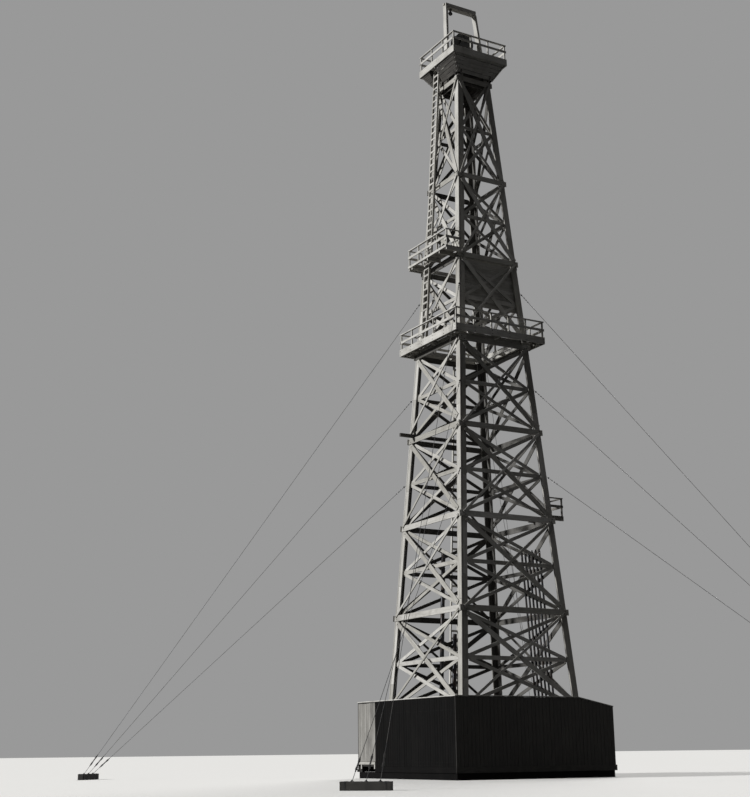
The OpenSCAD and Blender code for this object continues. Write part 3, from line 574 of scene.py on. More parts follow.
bolts = []
for side in range(4):
    planks = []
    for row in range(len(LEVELS)):
        z = row_z(row, side)
        reach = half_at(z + GIRT_W / 2) + (0 if crosswise(side) else GIRT_RUN)
        # on the ladders' side the outer face of the girts under the decks is darkened as a painted
        # shadow of the decks
        in_deck_shadow = side == LEFT and row in (GALLERY_ROW, LANDING_ROW)
        facing = -outward(side) if in_deck_shadow else outward(side)
        planks.append(plank(*level(side, reach, z, PLANK_T / 2), facing, GIRT_W, PLANK_T, oiled=1))
        for end in (-1, 1):
            for dx, dz in ((0.045, 0.035), (0.12, -0.035)):
                bolts.append((on_side(side, end * (half_at(z) - dx), z + dz, PLANK_T), outward(side)))
    name = SIDE_NAMES[side]
    nail_up(name + "_ties", planks, weathered_pine, "weathered_timber", name + "_girts")

# Braces
# Each panel between two girts has two broad planks crossed outside the legs, one lapped
# over the other, and inside the legs a middle girt with a small cross below and above.
BRACE_W, OVER_BRACE_W, HALF_BRACE_W, MID_GIRT_W = 0.125, 0.062, 0.085, 0.100
INNER = LEG_T + PLANK_T
PLAY = 0.002
DECK_H, CROSS_D = 0.125, 0.090


def carries(row, side):
    """Whether beams of a deck, or the cross beam, lie on a row's girt."""
    if row == CROSS_ROW or row == LANDING_ROW:
        return crosswise(side)
    return row == GALLERY_ROW or (row == PERCH_ROW and side == RIGHT)


def foot_of(row, side):
    """The height from which a panel's lower plank can rise."""
    if row == CROSS_ROW and crosswise(side):
        return seat(LEVELS[row]) + CROSS_D
    return seat(row_z(row, side)) + (DECK_H if carries(row, side) else 0)


def brace(side, z0, z1, width, c, inset, rises):
    """A square-ended plank from corner to corner of a panel, c out at its middle."""
    h0, h1 = half_at(z0) - inset - 0.6 * width, half_at(z1) - inset - 0.6 * width
    s = 1 if rises else -1
    a = Vector((-s * h0, z0 * SLOPE))
    b = Vector((s * h1, z1 * SLOPE))
    way = (b - a).normalized()
    cut_back = width / 2 * abs(way.x) / way.y
    a, b = a + way * cut_back, b - way * cut_back
    ends = [on_side(side, p.x, p.y / SLOPE, c) for p in (a, b)]
    return plank(*ends, outward(side), width, PLANK_T, oiled=1)


def panel(side, row):
    """The planks of one panel; their bolts go on the list of bolts."""
    z0, z1 = foot_of(row, side), row_z(row + 1, side) - GIRT_W / 2
    z = (LEVELS[row] + LEVELS[row + 1]) / 2
    lap, top = z0 if carries(row, side) else LEVELS[row], row_z(row + 1, side)
    made = [
        brace(side, z0, z1, BRACE_W, PLANK_T / 2, 0, False),
        brace(side, lap, top, OVER_BRACE_W, PLANK_T * 1.5, 0, True),
    ]
    for rises in (False, True):
        c = -INNER + PLANK_T * (0.3 if rises else 0.7)
        for low, high in ((z0 + INNER * LEAN + GAP, z), (z, z1)):
            made.append(brace(side, low, high, HALF_BRACE_W, c, INNER + PLAY, rises))
    ends = level(side, half_at(z) - INNER - PLAY - MID_GIRT_W * LEAN, z, -INNER + PLANK_T / 2)
    made.append(plank(*ends, outward(side), MID_GIRT_W, PLANK_T + 0.001, oiled=1))
    bolts.append((on_side(side, 0, (lap + top) / 2, 2 * PLANK_T), outward(side)))
    for s, low, high, layer, width in ((1, lap, top, 2, OVER_BRACE_W), (-1, z0, z1, 1, BRACE_W)):
        for end_z, sign, step in ((low, -s, width), (high, s, -width)):
            x = sign * (half_at(end_z) - width * 1.5)
            bolts.append((on_side(side, x, end_z + step * 0.9 * 0.75, layer * PLANK_T), outward(side)))
    return made


for side in range(4):
    for part, rows in (("lower", range(4)), ("upper", range(4, 7))):
        planks = [p for row in rows for p in panel(side, row)]
        name = SIDE_NAMES[side] + "_" + part
        nail_up(name + "_planks", planks, weathered_pine, "weathered_timber", name + "_braces")
drive_bolts("tower_bolts", bolts)

# Windbreak and cross beam
# Level boards nailed inside the front braces shelter the landing and the gallery from
# the wind. A beam lies across the girts two rows below and runs out beside a leg, and
# two heavy ones lie on the heads of the legs.
WIND_DROP, WIND_BOARDS = 0.200, 13
CROSS_OUT, CROSS_W = 0.420, 0.060
CROWN_BEAM_D, CROWN_BEAM_W = 0.130, 0.110

z0 = (LEVELS[GALLERY_ROW] + LEVELS[LANDING_ROW]) / 2 - WIND_DROP
step = (LEVELS[LANDING_ROW] - GIRT_W / 2 - z0) / WIND_BOARDS
width = step * SLOPE - 0.003
c = -INNER - GAP - PLANK_T / 2
planks = []
for i in range(WIND_BOARDS):
    z = z0 + (i + 0.5) * step
    reach = half_at(z0 + (i + 1) * step) - (INNER + PLANK_T + GAP)
    ends = [on_side(FRONT, s * (reach - dice.uniform(0, 0.012)), z, c) for s in (-1, 1)]
    planks.append(plank(*ends, outward(FRONT), width, PLANK_T - dice.uniform(0, 0.002)))
nail_up("windbreak_boards", planks, weathered_pine, "tarred_timber", "windbreak")

z = seat(LEVELS[CROSS_ROW])
h = half_at(z)
y = half_at(z + CROSS_D) - LEG_W * SLOPE - PLAY - CROSS_W
planks = [beam((-h - CROSS_OUT, y, z), (h + PLANK_T, y + CROSS_W, z + CROSS_D), 1)]
nail_up("cross_beam", planks, oiled_pine, "weathered_timber", "cross_beams")

planks = []
e = TOP / 2
for s in (-1, 1):
    y = s * (e - CROWN_BEAM_W / 2)
    planks.append(joist(-e - 0.06, e + 0.06, y, TOWER, TOWER + CROWN_BEAM_D, CROWN_BEAM_W))
nail_up("bearing_beams", planks, weathered_pine, "weathered_timber", "cross_beams")

# Enclosure
# The floor is boarded in to above head height against wind and spray from the well:
# upright tarred boards with ragged feet on a frame of posts and rails, and a pale cap
# board along the top. One bay at the far left is limewashed and hangs clear of the sill.
ENCLOSURE_W, WALL_TOP, LOW_WALL_TOP = 4.520, 1.830, 1.620
WALL_FOOT, FAR_FOOT, WALL_T, WALL_POST, WALL_RAIL = 0.225, 0.165, 0.025, 0.070, 0.060
SLOPE_X, PALE_W, PALE_FOOT = 1.200, 0.850, 0.400
BOARD_W = 0.105
EDGE = ENCLOSURE_W / 2
FEET = {FRONT: WALL_FOOT, RIGHT: FAR_FOOT, BACK: FAR_FOOT, LEFT: WALL_FOOT}
WALL_RAILS = (WALL_FOOT + WALL_RAIL, JOIST_Z - WALL_RAIL, LOW_WALL_TOP - 2 * WALL_RAIL)
WALL_CAP_W, WALL_CAP_T = 0.060, 0.022


def wall_top_at(side, x):
    """Height of a wall's top; the front and the back walls slope down to the right one."""
    if side == RIGHT:
        return LOW_WALL_TOP
    along = x if side == FRONT else -x
    if side == LEFT or along < SLOPE_X:
        return WALL_TOP
    return WALL_TOP - (along - SLOPE_X) * (WALL_TOP - LOW_WALL_TOP) / (EDGE - SLOPE_X)


def upright_boards(side, x0, x1, foot, top=None, ragged=0.012):
    """Boards side by side along a wall, their heads at its top and their feet uneven."""
    count = round((x1 - x0) / BOARD_W)
    step = (x1 - x0) / count
    made = []
    for i in range(count):
        a, b = x0 + i * step, x0 + (i + 1) * step
        head = top or max(wall_top_at(side, a), wall_top_at(side, b))
        low = (a + 0.001, -EDGE + dice.uniform(0, 0.0025), foot + dice.uniform(0, ragged))
        high = (b - dice.uniform(0.001, 0.005), -EDGE + WALL_T, head - dice.uniform(0, 0.006))
        made.append(beam(low, high, dice.uniform(0, 1)))
    return moved(made, side)


for side in (FRONT, RIGHT, BACK):
    reach = IN_W / 2 if side == RIGHT else EDGE
    name = SIDE_NAMES[side] + "_wall"
    planks = upright_boards(side, -reach, reach, FEET[side])
    nail_up(name + "_boards", planks, tarred_pine, "tarred_timber", name)
bay_end = -IN_W / 2 + PALE_W
planks = upright_boards(LEFT, bay_end, IN_W / 2, WALL_FOOT)
# the lamp-lit left wall takes the blacker copy, as painted shade
nail_up("left_wall_boards", planks, tar_darkened_as_shade, "tarred_timber", "left_wall")
planks = upright_boards(LEFT, -IN_W / 2, bay_end - PLAY, PALE_FOOT, WALL_TOP - WALL_T, 0.004)
nail_up("pale_boards", planks, limed_pine, "pale_timber", "pale_panel")

# a level weather board, lapped over the boards' feet, closes the draught over the sills
for side in range(4):
    reach = EDGE if crosswise(side) else EDGE + 0.018
    start = -reach + (PALE_W + 0.03 if side == LEFT else 0)
    low, high = (-EDGE - 0.017, SILL + 0.002), (-EDGE - 0.0005, FEET[side] + 0.055)
    spans = ((start, 0.31), (0.313, reach))
    planks = [beam((a, *low), (b, *high), dice.uniform(0, 1)) for a, b in spans]
    # the lamp-lit left skirt takes the blacker copy, as painted shade
    tarred = tar_darkened_as_shade if side == LEFT else tarred_pine
    nail_up(SIDE_NAMES[side] + "_skirt", moved(planks, side), tarred, "tarred_timber")

# the limewashed bay ends over a bare ledge on two short posts
planks = [beam((-IN_W / 2, -EDGE - 0.012, 0.332), (bay_end, -EDGE + WALL_T, 0.396), 0.6)]
for x in (-IN_W / 2 + 0.12, bay_end - 0.07):
    low = (x, -EDGE + 0.001, WALL_FOOT + 0.002)
    planks.append(beam(low, (x + 0.045, -EDGE + WALL_T, 0.331), 0.3))
nail_up("bay_ledge", moved(planks, LEFT), weathered_pine, "weathered_timber")

planks = []
for side in range(4):
    w = IN_W - (2 * (WALL_POST + GAP) if crosswise(side) else 0)
    made = []
    for i in range(6):
        x = -w / 2 + i * (w - WALL_POST) / 5
        head = min(wall_top_at(side, x), wall_top_at(side, x + WALL_POST)) - WALL_T
        made.append(beam((x, -IN_W / 2, SILL), (x + WALL_POST, -IN_W / 2 + WALL_POST, head)))
    for z in WALL_RAILS:
        high = (w / 2, -IN_W / 2 + WALL_POST - 0.002, z + WALL_RAIL)
        made.append(beam((-w / 2, -IN_W / 2 + 0.001, z), high))
    planks += moved(made, side)
nail_up("wall_posts", planks, tarred_pine, "tarred_timber", "wall_frame")


def nail_at(side, x, y, z):
    """A place on a side of the tower for a nail or bolt, and the way that its head looks."""
    turn = turned_to(side)
    return turn @ Vector((x, y, z)), turn @ Vector((0, -1, 0))


# two nails in each board at each rail of the frame
nails = []
for side in range(4):
    start = bay_end if side == LEFT else -IN_W / 2
    count = round((IN_W / 2 - start) / BOARD_W)
    for i in range(count):
        x = start + (i + 0.5) * (IN_W / 2 - start) / count
        for z in WALL_RAILS:
            for dx in (-0.028, 0.028):
                astray, up = dice.uniform(-0.004, 0.004), dice.uniform(-0.01, 0.01)
                nails.append(nail_at(side, x + dx + astray, -EDGE, z + WALL_RAIL / 2 + up))
drive_bolts("wall_nails", nails, 0.0045, 0.009)

# the cap boards are bare pine, lighter than the wall, and lap the boards on both faces
planks = []
for side in range(4):
    reach = IN_W / 2 if crosswise(side) else EDGE + 0.006
    stops = [-reach, reach]
    if not crosswise(side):
        stops.insert(1, SLOPE_X if side == FRONT else -SLOPE_X)
    made = []
    for span in zip(stops, stops[1:]):
        ends = [(x, -EDGE + 0.022, wall_top_at(side, x) + WALL_CAP_T / 2) for x in span]
        made.append(plank(*ends, (0, -0.001, 1), WALL_CAP_W, WALL_CAP_T, dice.uniform(0, 0.3)))
    planks += moved(made, side)
nail_up("wall_caps", planks, weathered_pine, "weathered_timber")

# Gallery
# Halfway up a railed walk runs all round the tower on beams laid across its girts. The
# planks of the deck show their ends over a deep fascia board, and the rails are a flat
# cap and one middle board on square posts.
GALLERY_W, GALLERY_FASCIA_D, FASCIA_T, GALLERY_BAYS = 2.770, 0.185, 0.025, 5
DECK_JOIST_D, DECK_JOIST_W, DECK_BOARD_W, DECK_TONES = 0.095, 0.045, 0.095, (0, 0.8)
RAIL_POST, RAIL_W, RAIL_T, CAP_T, MID_RAIL, RAIL_H = 0.038, 0.066, 0.020, 0.026, 0.45, 0.495
POST_IN = FASCIA_T + GAP
LADDER_W, LADDER_OFF, MIDDLE_LADDER_Y, UPPER_LADDER_Y, HATCH = 0.260, 0.125, 0.370, 0.300, 0.230
GALLERY_Z = seat(LEVELS[GALLERY_ROW])
GALLERY_TOP = GALLERY_Z + DECK_H


def railing(posts, x0, x1, h, out):
    """Handrail along X before posts whose outer faces are at y = 0."""
    made = [beam((x, 0, 0), (x + RAIL_POST, RAIL_POST, h - CAP_T)) for x in posts]
    low, high = (x0, -out, h * MID_RAIL), (x1, -out + RAIL_T, h * MID_RAIL + RAIL_W)
    made.append(beam(low, high, dice.uniform(0, 0.4)))
    made.append(beam((x0, -out, h - CAP_T), (x1, RAIL_POST, h), dice.uniform(0, 0.3)))
    return made


def square_railing(width, bays, h, z):
    """Handrails round a square deck, the front and the back one past the ends of the others."""
    long = width - 2 * POST_IN
    step = (long - RAIL_POST) / bays
    made = []
    for side in range(4):
        if crosswise(side):
            ends = RAIL_POST + GAP
            one = railing([i * step for i in range(1, bays)], ends, long - ends, h, RAIL_T)
        else:
            one = railing([i * step for i in range(bays + 1)], -RAIL_T, long + RAIL_T, h, RAIL_T)
        made += moved(one, side, turned_to(side) @ Vector((-long / 2, -long / 2, z)))
    return made


def fascia(width, z0, z1):
    """Edge boards round a square deck, each side in two lengths."""
    made = []
    for side in range(4):
        reach = width / 2 - (FASCIA_T + 0.0005 if crosswise(side) else 0)
        joint = dice.uniform(-0.3, 0.3)
        for a, b in ((-reach, joint - BUTT), (joint, reach)):
            board = beam((a, -width / 2, z0), (b, -width / 2 + FASCIA_T, z1), dice.uniform(0, 0.4))
            made += moved([board], side)
    return made


e, h = GALLERY_W / 2, half_at(GALLERY_Z)
inside = h - LEG_W - DECK_JOIST_W
half_joist = DECK_JOIST_W / 2
planks = fascia(GALLERY_W, GALLERY_Z, GALLERY_Z + GALLERY_FASCIA_D)
for side in (FRONT, RIGHT):
    drop = 0.001 * side
    z0, z1 = GALLERY_Z + drop, GALLERY_Z + DECK_JOIST_D - drop
    for s in (-1, 1):
        through = joist(-e + FASCIA_T, e - FASCIA_T, s * inside, z0, z1, DECK_JOIST_W)
        planks += moved([through], side)
low, high = GALLERY_Z, GALLERY_Z + DECK_JOIST_D - 0.001
for side in range(4):
    short = [
        beam((-h, -h - PLANK_T - GAP, low), (h, -h - GAP, high)),
        beam((-half_joist, -e + FASCIA_T, low), (half_joist, -inside, high)),
    ]
    for s in (-1, 1):
        x, end = s * (e - 0.18), -h - PLANK_T - 0.01
        short.append(beam((x - half_joist, -e + FASCIA_T, low), (x + half_joist, end, high)))
    if side != BACK:
        # strips between the joists close the slit between the ledger and the deck
        near, far = half_joist + 0.003, inside - half_joist - 0.003
        strip_low = (-h - 2 * PLANK_T - PLAY, GALLERY_Z + DECK_JOIST_D - 0.032)
        strip_high = (-h - PLANK_T - GAP - 0.0005, GALLERY_Z + DECK_JOIST_D - 0.002)
        for a, b in ((near, far), (-far, -near)):
            short.append(beam((a, *strip_low), (b, *strip_high)))
    planks += moved(short, side)
nail_up("gallery_joists", planks, weathered_pine, "weathered_timber", "gallery_beams")

reach = e - POST_IN
gap_in = h + 2 * PLANK_T + PLAY
low, high = GALLERY_Z + DECK_JOIST_D, GALLERY_TOP
x = MIDDLE_LADDER_Y
hatch = ((x - LADDER_W / 2 - PLAY, gap_in - 0.01), (x + LADDER_W / 2 + PLAY, gap_in + HATCH))
planks = []
for a, b, way in (
    ((-reach, -reach), (reach, -gap_in), 1),
    ((-reach, gap_in), (reach, reach), 1),
    ((-reach, -gap_in), (-gap_in, gap_in), 0),
    ((gap_in, -gap_in), (reach, gap_in), 0),
):
    planks += decking((*a, low), (*b, high), DECK_BOARD_W, [hatch], way, tones=DECK_TONES)
nail_up("gallery_planks", planks, trodden_pine, "weathered_timber", "gallery_deck")
planks = square_railing(GALLERY_W, GALLERY_BAYS, RAIL_H, GALLERY_TOP)
nail_up("gallery_rails", planks, weathered_pine, "weathered_timber", "gallery_rail")

# two bolts through the fascia into the foot of each rail post
bolts = []
bay = (GALLERY_W - 2 * POST_IN - RAIL_POST) / GALLERY_BAYS
for side in range(4):
    for i in range(GALLERY_BAYS + 1):
        x = -e + POST_IN + RAIL_POST / 2 + i * bay
        bolts += [nail_at(side, x, -e, GALLERY_Z + 0.045 + dz) for dz in (0, 0.09)]
drive_bolts("gallery_bolts", bolts, 0.012, 0.026)

# Landings
# A narrow railed landing above the gallery lies on two beams through the tower, and a
# small one with two rails stands out beside the front right leg, lower down.
LANDING_OUT, LANDING_L, LANDING_Y = 0.500, 1.890, 0.100
LANDING_EDGE_D, LANDING_RAIL_H = 0.062, 0.460
LANDING_Z = seat(LEVELS[LANDING_ROW] - LANDING_DROP)
LANDING_TOP = LANDING_Z + DECK_H
LANDING_HALF = half_at(LANDING_Z)

outer = -(LANDING_HALF + LANDING_OUT)
start, top = outer + FASCIA_T, LANDING_Z + DECK_JOIST_D
y0, y1 = -LANDING_Y - LANDING_L / 2, -LANDING_Y + LANDING_L / 2
planks = [beam((outer, y0, LANDING_TOP - LANDING_EDGE_D), (start, y1, LANDING_TOP), 0.05)]
for s in (-1, 1):
    y = s * (LANDING_HALF - LEG_W - DECK_JOIST_W)
    planks.append(joist(start, LANDING_HALF + PLANK_T, y, LANDING_Z, top, DECK_JOIST_W))
end = start + (LANDING_OUT - FASCIA_T - max(GIRT_RUN, 2 * PLANK_T) - PLAY)
for s in (-1, 0, 1):
    y = -LANDING_Y + s * (LANDING_L - DECK_JOIST_W) / 2
    planks.append(joist(start, end, y, LANDING_Z, top - 0.0005, DECK_JOIST_W))
nail_up("landing_joists", planks, weathered_pine, "weathered_timber", "landing_beams")

x = start + GAP
width = LANDING_OUT - FASCIA_T - 2 * PLANK_T - PLAY - GAP
near, far = MIDDLE_LADDER_Y - LADDER_W / 2, MIDDLE_LADDER_Y + LADDER_W / 2
hole = ((x + 0.08, near), (x + 0.08 + HATCH - 0.02, far))
high = (x + width, y1, LANDING_TOP)
planks = decking((x, y0, top), high, DECK_BOARD_W, [hole], tones=DECK_TONES)
nail_up("landing_planks", planks, trodden_pine, "weathered_timber", "landing_deck")

d = LANDING_OUT - POST_IN - 2 * PLANK_T - PLAY
end = d - RAIL_POST - GAP
step = (LANDING_L - RAIL_POST) / 4
x = outer + POST_IN
one = railing([i * step for i in range(5)], 0, LANDING_L, LANDING_RAIL_H, RAIL_T)
planks = moved(one, LEFT, (x, y1, LANDING_TOP))
one = railing([end - RAIL_POST], 0, end, LANDING_RAIL_H, 0)
planks += moved(one, FRONT, (x + RAIL_POST + GAP, y0, LANDING_TOP))
one = railing([0], 0, end, LANDING_RAIL_H, 0)
planks += moved(one, BACK, (x + d, y1, LANDING_TOP))
nail_up("landing_rails", planks, weathered_pine, "weathered_timber", "landing_rail")

PERCH_OUT, PERCH_L, PERCH_RAIL_H = 0.520, 0.600, 0.470
PERCH_Z = seat(LEVELS[PERCH_ROW])
PERCH_TOP = PERCH_Z + DECK_H
PERCH_HALF = half_at(PERCH_Z)

d = PERCH_OUT - 2 * (PLANK_T + GAP) - PLAY
y0 = -PERCH_HALF + LEG_W + DECK_JOIST_W
outer, top = PERCH_HALF + PERCH_OUT, PERCH_Z + DECK_JOIST_D
planks = []
for y in (y0, y0 + PERCH_L - DECK_JOIST_W):
    planks.append(beam((PERCH_HALF - LEG_W, y, PERCH_Z), (outer, y + DECK_JOIST_W, top)))
planks += decking((outer - d, y0, top), (outer, y0 + PERCH_L, PERCH_TOP), DECK_BOARD_W, (), 1)
one = railing([0, PERCH_L - RAIL_POST], 0, PERCH_L, PERCH_RAIL_H, RAIL_T)
planks += moved(one, RIGHT, (outer - RAIL_T, y0, PERCH_TOP))
one = railing([0], 0, d - RAIL_POST - GAP, PERCH_RAIL_H, RAIL_T)
planks += moved(one, FRONT, (outer - d, y0 + RAIL_T, PERCH_TOP))
nail_up("side_landing_planks", planks, oiled_pine, "weathered_timber", "side_landing")

# Crown
# On the legs' heads a square frame with sloping struts under its edges carries the
# crown deck, from which the sheaves are reached. Two of its timbers lie under the block.
CROWN_W, CROWN_FASCIA_D, CROWN_RAIL_H, CROWN_HOLE = 1.770, 0.200, 0.440, 0.600
BRACKET_DROP, BRACKET_W, STRUT_W = 0.420, 0.050, 0.088
CROWN_Z = TOWER + CROWN_BEAM_D
CROWN_TOP = CROWN_Z + DECK_H
BEARING_X, BEARING_T = 0.172, 0.060

e, w = TOP / 2, CROWN_W / 2
planks = fascia(CROWN_W, CROWN_TOP - CROWN_FASCIA_D, CROWN_TOP)
for s in (-1, 1):
    top = CROWN_Z + DECK_JOIST_D
    planks.append(joist(0.03 - e, e - 0.03, s * BEARING_X, CROWN_Z, top, CROWN_BEAM_W))
    for side in (FRONT, RIGHT):
        drop = 0.001 * side
        y, z0, z1 = s * (e - 0.03), CROWN_Z + drop, top - drop
        planks += moved([joist(-w + FASCIA_T, w - FASCIA_T, y, z0, z1, DECK_JOIST_W)], side)
nail_up("crown_joists", planks, weathered_pine, "weathered_timber", "crown_frame")

planks = []
z0 = TOWER - BRACKET_DROP
for side in range(4):
    for s in (-1, 1):
        x = s * (half_at(TOWER) - BRACKET_W / 2)
        foot = (x, -half_at(z0 + 0.06) - 0.012, z0 + 0.045)
        top = (x, -w + FASCIA_T + 0.065, CROWN_Z - 0.012)
        planks += moved([plank(foot, top, (1, 0, 0), STRUT_W, BRACKET_W)], side)
nail_up("crown_struts", planks, tarred_pine, "tarred_timber", "crown_brackets")

# Boards nailed across the struts close the underside, and level ones inside the legs
# close the tower's head between the top girts and the crown beams. The soffit boards carry
# painted shade and light by side: darkest on the left, which the low lamp lights, and lightest on the
# front, which lies in shade and is of weathered pine.
SOFFIT_TONES = {FRONT: (0, 0.3), RIGHT: (0.2, 0.8), BACK: (0.2, 0.8), LEFT: (0.95, 1)}
SOFFIT_DROP, SOFFIT_BOARDS, SOFFIT_T = 0.34, 5, 0.018
HEAD_Z, HEAD_STEP, HEAD_BOARD_W, HEAD_T = 18.42, 0.112, 0.104, 0.022

z = TOWER - SOFFIT_DROP
foot = Vector((0, -half_at(z) - PLANK_T - 0.024, z))
top = Vector((0, -w + FASCIA_T + 0.006, CROWN_Z - 0.014))
way = (top - foot).normalized()
facing = Vector((0, -way.z, way.y))
past_ladder = (-UPPER_LADDER_Y - LADDER_W / 2 - 0.02, -UPPER_LADDER_Y + LADDER_W / 2 + 0.02)
planks, front_planks = [], []
for side in range(4):
    pile = front_planks if side == FRONT else planks
    for i in range(SOFFIT_BOARDS):
        at = foot.lerp(top, (i + 0.5) / SOFFIT_BOARDS) + facing * 0.012
        reach = -foot.lerp(top, (i + 0.6) / SOFFIT_BOARDS).y - 0.004
        stops = (-reach, *past_ladder, reach) if side == LEFT else (-reach, reach)
        for a, b in zip(stops[::2], stops[1::2]):
            if b - a > 0.05:
                width = (top - foot).length / SOFFIT_BOARDS - dice.uniform(0.004, 0.016)
                ends = at + Vector((a, 0, 0)), at + Vector((b, 0, 0))
                tone = dice.uniform(*SOFFIT_TONES[side])
                pile += moved([plank(*ends, facing, width, SOFFIT_T, tone)], side)
for corner in range(4):
    low, high = [(p.y, p.y, p.z - 0.012) for p in (foot, top)]
    planks += moved([plank(low, high, (-1, -1, -1.2), 0.075, SOFFIT_T)], corner)
nail_up("crown_soffit", planks, oiled_pine, "tarred_timber")
nail_up("front_soffit", front_planks, weathered_pine, "weathered_timber")

planks = []
for side in range(4):
    for i in range(5):
        z = HEAD_Z + HEAD_STEP * i
        reach = half_at(z + 0.1) - LEG_T - PLANK_T - 0.028
        ends = level(side, reach, z, -INNER - 0.014)
        planks.append(plank(*ends, outward(side), HEAD_BOARD_W, HEAD_T))
nail_up("head_boards", planks, oiled_pine, "tarred_timber")

reach = w - POST_IN
x, y = half_at(CROWN_TOP) + PLANK_T + LADDER_OFF, UPPER_LADDER_Y
hole = ((-x - HATCH + 0.03, y - LADDER_W / 2 - 0.01), (-x + 0.03, y + LADDER_W / 2 + 0.01))
well = ((-CROWN_HOLE / 2, -CROWN_HOLE / 2), (CROWN_HOLE / 2, CROWN_HOLE / 2))
low, high = (-reach, -reach, CROWN_Z + DECK_JOIST_D), (reach, reach, CROWN_TOP)
planks = decking(low, high, DECK_BOARD_W, [hole, well], 1, 1.8, DECK_TONES)
nail_up("crown_planks", planks, trodden_pine, "weathered_timber", "crown_deck")
planks = square_railing(CROWN_W, 3, CROWN_RAIL_H, CROWN_TOP)
nail_up("crown_rails", planks, weathered_pine, "weathered_timber", "crown_rail")

# Crown block
# Four cast-iron sheaves turn on one steel shaft in two plate bearings. Each bearing is
# capped and bolted, with an oil cup on the cap, and the outer sheaves have ribbed webs.
SHAFT_Z = CROWN_TOP + 0.670
OIL_CUP = [(0.014, 0), (0.014, 0.02), (0.022, 0.024), (0.022, 0.05), (0.016, 0.056)]
BRASS = [(0.048, 0), (0.048, 0.008), (0.042, 0.011), (0.033, 0.011), (0.033, 0)]
WEB, RIB_T = 0.105, 0.012
black_grease = iron("greased cast iron", "#141414", "#2C2825", 14, 0.5, 0.32, 0.6, 0.0015)


def coat(node, material):
    """Gives a CAD node its finish."""
    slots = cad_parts[node].data.materials
    slots.clear()
    slots.append(material)


def lathe(bm, profile, matrix, sides):
    """Turns a (radius, height) profile about Z into the mesh."""
    spokes = [2 * math.pi * i / sides for i in range(sides)]
    rings = [
        [bm.verts.new(matrix @ Vector((r * math.cos(a), r * math.sin(a), height))) for a in spokes]
        for r, height in profile
    ]
    for low, high in zip(rings, rings[1:]):
        for i in range(sides):
            j = (i + 1) % sides
            bm.faces.new((low[i], low[j], high[j], high[i])).smooth = sides > 12
    bm.faces.new(rings[0][::-1])
    bm.faces.new(rings[-1])


def cast(name, bm, material, slot, *nodes, body="derrick"):
    """The finished mesh as one piece that rides on its body."""
    mesh = bpy.data.meshes.new(name)
    bm.to_mesh(mesh)
    bm.free()
    mesh.materials.append(material)
    piece = put_in_scene(name, mesh)
    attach(piece, body)
    if nodes:
        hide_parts(*nodes)


def block(bm, low, high, matrix=Matrix.Identity(4), nick=0.002):
    """A forged block with its edges broken."""
    low, high = Vector(low), Vector(high)
    box = bmesh.ops.create_cube(bm, size=1)["verts"]
    for v in box:
        v.co = [(low[i] + high[i]) / 2 + v.co[i] * (high[i] - low[i]) for i in range(3)]
    edges = list(dict.fromkeys(e for v in box for e in v.link_edges))
    made = bmesh.ops.bevel(bm, geom=edges, offset=nick, segments=1, affect="EDGES")["verts"]
    for v in {*made, *[v for v in box if v.is_valid]}:
        v.co = matrix @ v.co


coat("crown_block", black_grease)
coat("crown_sheaves", black_grease)
bm = bmesh.new()
caps = []
for s in (-1, 1):
    y, face = s * BEARING_X, s * (BEARING_X + BEARING_T / 2)
    block(bm, (-0.098, y - 0.036, SHAFT_Z + 0.081), (0.098, y + 0.036, SHAFT_Z + 0.105))
    lathe(bm, OIL_CUP, Matrix.Translation((0, y, SHAFT_Z + 0.1045)), 14)
    caps += [(Vector((x, y, SHAFT_Z + 0.107)), Vector((0, 0, 1))) for x in (-0.07, 0.07)]
    for x in (-0.33, -0.20, 0.20, 0.33):
        caps.append((Vector((x, face, CROWN_TOP + 0.045)), Vector((0, s, 0))))
    # ring of the bearing's brass, proud of the plate round the shaft
    turn = Matrix.Rotation(-s * math.pi / 2, 4, "X")
    lathe(bm, BRASS, Matrix.Translation((0, face, SHAFT_Z)) @ turn, 24)
cast("bearing_caps", bm, black_grease, "iron")
drive_bolts("crown_bolts", caps, 0.018, 0.034)

bm = bmesh.new()
for s in (-1, 1):
    near, far = sorted((s * WEB, s * (WEB + RIB_T)))
    for i in range(6):
        spin = Matrix.Rotation(i * math.pi / 3, 4, "Y")
        lie = Matrix.Translation((0, 0, SHAFT_Z)) @ spin
        block(bm, (-0.008, near, 0.072), (0.008, far, 0.238), lie)
cast("sheave_ribs", bm, black_grease, "iron", body="sheave_group")

# Gin pole
# Over the block stands a frame of two planks and a head beam, with the small pulley
# by which the sheaves are hauled up and changed.
GIN_TOP, GIN_BEAM_D, GIN_LEFT, GIN_FOOT, GIN_HEAD = 21.040, 0.125, 0.525, 0.680, 0.420
GIN_D, GIN_T = 0.155, 0.070
HUB = [(0.012, -0.024), (0.026, -0.024), (0.026, -0.012), (0.048, -0.012)]
RIM, GROOVE = [(0.060, -0.018), (0.060, -0.014)], [(0.050, 0)]

z1 = GIN_TOP - GIN_BEAM_D
half = GIN_D / 2
left = -GIN_LEFT - GIN_T / 2
head_x = GIN_HEAD + (GIN_FOOT - GIN_HEAD) * (GIN_TOP - z1) / (GIN_TOP - CROWN_TOP)
planks = [
    beam((left, -half, CROWN_TOP), (-GIN_LEFT + GIN_T / 2, half, z1), 0.1),
    beam((left, -half, z1 + 0.0005), (GIN_HEAD + GIN_T / 2, half, GIN_TOP), 0.35),
    plank((GIN_FOOT, 0, CROWN_TOP), (head_x, 0, z1), (1, 0, 0), GIN_D, GIN_T * 0.99, 0.3),
    beam((left - 0.028, -0.05, CROWN_TOP), (left, 0.05, CROWN_TOP + 0.30), 0.5),
    beam((left - 0.035, -0.03, GIN_TOP - 0.055), (left, 0.03, GIN_TOP - 0.002), 0.5),
]
nail_up("gin_posts", planks, weathered_pine, "weathered_timber", "gin_frame")

